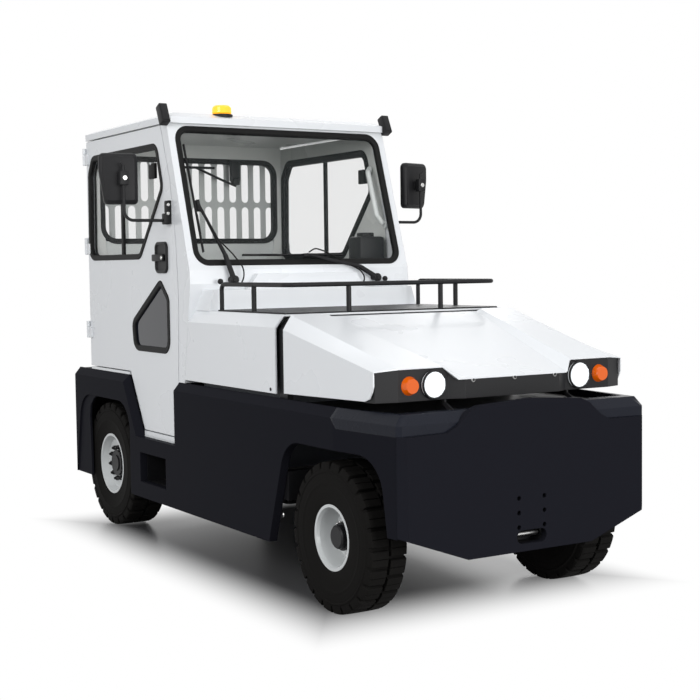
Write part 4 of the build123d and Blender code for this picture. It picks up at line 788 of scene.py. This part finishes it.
# ================= inside the cab =================
INNER_SEAL = [(-15, -3), (-14, 4), (-8, 7), (10, 7), (20, 3), (22, 0), (22, -3)]
DOOR_INSIDE_X = 579
for side, hand in HANDS:
    lift = on_side(hand, DOOR_INSIDE_X, -1)
    windows = ((UPPER, UPPER_ROUND), (LOWER, LOWER_ROUND))
    seals = [moulding(outline, bends, INNER_SEAL, lift) for outline, bends in windows]
    make(f"door_inner_seals_{side}", seals, RUBBER, f"door_assembly_{side}")

HANDLE = ((556, 2010, 1838), (530, 1975, 1828), (520, 1880, 1600), (552, 1872, 1556))
handle = [
    tube([(x, at(back), z) for x, back, z in HANDLE], [0, 26, 26, 0], 13, 14, 8),
    drum(22, 8, (562, at(2012), 1838), "X", 24, 2),
    drum(22, 8, (562, at(1872), 1552), "X", 24, 2),
]
make("grab_handle", handle, GREY, ROOT)
console = [
    block((150, 120, 254), (478, at(1915), 1364), 16),
    block((70, 60, 30), (470, at(1912), 1496), 6),
]
make("dash_console", console, PLASTIC, ROOT)

# Seats: crowned cushions with piped edges, standing for the plain solids
SEAT_FRONT, SEAT_Z, SEAT_X = 2450.0, 780.0, 300.0
SEAT_LEAN = math.radians(90 - 6)
CHANNEL_DEPTH = 5.0
# Rings of a cushion from its foot over the piping to its middle: share of the outline and of the thickness
CUSHION_ROWS = [
    (0.90, 0.0), (0.97, 0.10), (1.0, 0.30), (1.0, 0.62), (0.985, 0.80), (1.012, 0.84), (1.012, 0.88),
    (0.975, 0.90), (0.93, 0.97), (0.82, 1.0), (0.64, 1.0), (0.42, 1.0), (0.2, 1.0)
]


def cushion(size, matrix, crown, round_r):
    """A crowned pad on a rounded outline: half sizes in x and y, thickness in z, bulging towards +z."""
    half_x, half_y, thick = size
    outline = rounded(box_outline(half_x, -half_y, half_y), round_r, 6)
    verts = []
    for scale, h in CUSHION_ROWS:
        for p in outline:
            puff = crown * (1 - scale * scale) * (1 if h >= 0.97 else 0)
            groove = max(0.0, math.cos(p.x * scale / half_x * 2.5 * math.pi)) ** 6
            channel = CHANNEL_DEPTH * (1 if h >= 1.0 else 0) * groove
            verts.append(matrix @ Vector((p.x * scale, p.y * scale, h * thick + puff - channel)))
    return verts, skin(len(CUSHION_ROWS), len(outline))


for side, hand in HANDS:
    base = Matrix.Translation((hand * SEAT_X, at(SEAT_FRONT + 215), SEAT_Z))
    pad = cushion((226, 212, 96), base, 14, 44)
    pad = make(f"seat_cushion_{side}", [pad], SEAT, ROOT, 50)
    lean = Matrix.Translation((hand * SEAT_X, at(SEAT_FRONT + 416), SEAT_Z + 90 + 215))
    lean = lean @ Matrix.Rotation(SEAT_LEAN, 4, "X")
    rest = cushion((216, 212, 76), lean, 12, 52)
    rest = make(f"seat_back_{side}", [rest], SEAT, ROOT, 50)
    if hand > 0:
        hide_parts("seats")

# ================= lamps =================
low_lamp, high_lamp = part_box("headlamps")
lamp_r = (high_lamp[2] - low_lamp[2]) / MM / 2
lamp_x = high_lamp[0] / MM - lamp_r
lamp_z = (high_lamp[2] + low_lamp[2]) / MM / 2 - DATUM_Z
lamp_front = low_lamp[1] / MM
RIB_PITCH = lamp_r / 3.6
HOT = glow("lamp_filament", (1.0, 1.0, 0.98), 2.2)
BEZEL = [(-5, -3), (-4, 2.5), (0, 4), (3, 2), (3, -3)]
ring = [(lamp_r * math.cos(TAU * i / 40), lamp_r * math.sin(TAU * i / 40)) for i in range(40)]
bezels, cores, ribs = [], [], []
for _, hand in HANDS:
    x = hand * lamp_x
    bezels.append(moulding(ring, 0, BEZEL, lambda u, v, w: (x + u, lamp_front - w, lamp_z + v)))
    cores.append(drum(lamp_r * 0.52, 3, (x, lamp_front - 1, lamp_z), "Y", 32, 1))
    for k in range(-3, 4):
        reach = math.sqrt(max(0.0, 0.86 - (k / 3.6) ** 2)) * lamp_r
        ribs.append(block((2.2, 3, 2 * reach), (x + k * RIB_PITCH, lamp_front - 0.6, lamp_z), 0.6))
make("headlamp_bezels", bezels, PLASTIC, HOOD)
make("headlamp_cores", cores, HOT, HOOD)
make("headlamp_ribs", ribs, LAMP, HOOD)

# ================= roof fittings =================
LAMP_TILT = Matrix.Rotation(math.radians(-25), 4, "X")
shells = []
for _, hand in HANDS:
    place_lamp = Matrix.Translation((hand * 626, at(1956), 2068)) @ LAMP_TILT
    shells.append(moved(block((42, 46, 98), (0, 0, 0), 5), place_lamp))
    shells.append(moved(block((34, 4, 84), (0, -24, 0), 1.5), place_lamp))
roof_lamps = make("roof_lamp_shells", shells, PLASTIC, ROOT)
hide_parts("roof_lamps")
# The beacon stands where the photograph shows it, ahead of its solid
BEACON_AT = (-290, at(2010))
lens = [drum(49, 44, (*BEACON_AT, 2108), "Z", 40, 9, 47)]
beacon = make("beacon_lens", lens, BEACON, ROOT)
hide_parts("beacon")
make("beacon_base", [drum(53, 22, (*BEACON_AT, 2077), "Z", 40, 3)], PLASTIC, ROOT)

# ================= stage =================
scene = bpy.context.scene
camera = bpy.data.objects.new("camera", bpy.data.cameras.new("camera"))
scene.collection.objects.link(camera)
camera.data.lens = 69.83
camera.data.sensor_width = 36.0
camera.data.clip_end = 100.0
CAMERA_AT = (-3.2812, -5.6507, 1.3577)
YAW, PITCH, ROLL = (math.radians(a) for a in (31.6, -3.54, -0.73))
ahead = Vector((math.sin(YAW) * math.cos(PITCH), math.cos(YAW) * math.cos(PITCH), math.sin(PITCH)))
right = Vector((math.cos(YAW), -math.sin(YAW), 0))
up = right.cross(ahead)
right, up = (right * math.cos(ROLL) + up * math.sin(ROLL), up * math.cos(ROLL) - right * math.sin(ROLL))
turn = Matrix((right, up, -ahead)).transposed().to_4x4()
camera.matrix_world = Matrix.Translation(CAMERA_AT) @ turn
scene.camera = camera


def background_rays(tree):
    """1 for the rays that meet the white background: seen directly, in a reflection or through glass."""
    paths = tree.nodes.new("ShaderNodeLightPath")
    meets = paths.outputs["Is Camera Ray"]
    for kind in ("Is Glossy Ray", "Is Transmission Ray"):
        meets = math_node(tree, "MAXIMUM", meets, paths.outputs[kind])
    return meets


FLOOR_HALF = 60
# Where the painted shadow on the floor near the tug fades to white: axis, metres from the middle at which
# it starts and ends
PAINTED_SHADOW_FADE = (("X", 0.52, 0.95), ("Y", 0.98, 1.60))
floor_mesh = bpy.data.meshes.new("floor")
floor_corners = [(x * FLOOR_HALF, y * FLOOR_HALF, 0) for x, y in ((-1, -1), (1, -1), (1, 1), (-1, 1))]
floor_mesh.from_pydata(floor_corners, [], [(0, 1, 2, 3)])
floor = bpy.data.objects.new("floor", floor_mesh)
scene.collection.objects.link(floor)
floor_mat, floor_shader = new_material("floor")
# Dark floor colour: a painted shadow under and round the tug, shown where the white has not faded in
floor_shader.inputs["Base Color"].default_value = (0.12, 0.12, 0.124, 1)
floor_shader.inputs["Roughness"].default_value = 0.3
floor_shader.inputs["Specular IOR Level"].default_value = 0.4
floor_tree = floor_mat.node_tree
floor_white = floor_tree.nodes.new("ShaderNodeEmission")
floor_mix = floor_tree.nodes.new("ShaderNodeMixShader")
floor_place = floor_tree.nodes.new("ShaderNodeNewGeometry")
floor_apart = floor_tree.nodes.new("ShaderNodeSeparateXYZ")
link(floor_mat, floor_place.outputs["Position"], floor_apart.inputs["Vector"])
fades = []
for axis, near, far in PAINTED_SHADOW_FADE:
    fade = floor_tree.nodes.new("ShaderNodeMapRange")
    fade.interpolation_type = "SMOOTHSTEP"
    fade.inputs["From Min"].default_value = near
    fade.inputs["From Max"].default_value = far
    link(floor_mat, math_node(floor_tree, "ABSOLUTE", floor_apart.outputs[axis]), fade.inputs["Value"])
    fades.append(fade.outputs["Result"])
# Share of the white past the painted shadow round the tug
past_painted_shadow = math_node(floor_tree, "MAXIMUM", *fades)
floor_part = math_node(floor_tree, "MULTIPLY", background_rays(floor_tree), past_painted_shadow)
link(floor_mat, floor_part, floor_mix.inputs["Fac"])
link(floor_mat, floor_shader.outputs[0], floor_mix.inputs[1])
link(floor_mat, floor_white.outputs[0], floor_mix.inputs[2])
link(floor_mat, floor_mix.outputs[0], floor_tree.nodes["Material Output"].inputs["Surface"])
floor_mesh.materials.append(floor_mat)


def area_light(name, place_at, target, size, power):
    """A soft rectangular lamp pointed at a target."""
    data = bpy.data.lights.new(name, "AREA")
    data.shape = "RECTANGLE"
    data.size, data.size_y = size
    data.energy = power
    obj = bpy.data.objects.new(name, data)
    scene.collection.objects.link(obj)
    obj.location = place_at
    obj.rotation_euler = (Vector(target) - Vector(place_at)).to_track_quat("-Z", "Y").to_euler()


area_light("top_light", (0.5, -0.5, 6.0), (0, 0, 0.8), (6, 7), 70)
area_light("left_light", (-6.5, -3.0, 3.2), (0, 0, 1.0), (4, 3), 215)
area_light("front_light", (0.5, -8.0, 1.9), (0, -0.5, 1.1), (5, 3), 330)
area_light("back_light", (4.0, 6.0, 3.5), (0, 0, 1.0), (4, 3), 80)

world = bpy.data.worlds.new("world")
scene.world = world
world.use_nodes = True
tree = world.node_tree
mix = tree.nodes.new("ShaderNodeMix")
mix.data_type = "RGBA"
tree.links.new(background_rays(tree), mix.inputs["Factor"])
mix.inputs["A"].default_value = (0.46, 0.47, 0.485, 1)
mix.inputs["B"].default_value = (1, 1, 1, 1)
tree.links.new(mix.outputs["Result"], tree.nodes["Background"].inputs["Color"])
scene.view_settings.view_transform = "Standard"
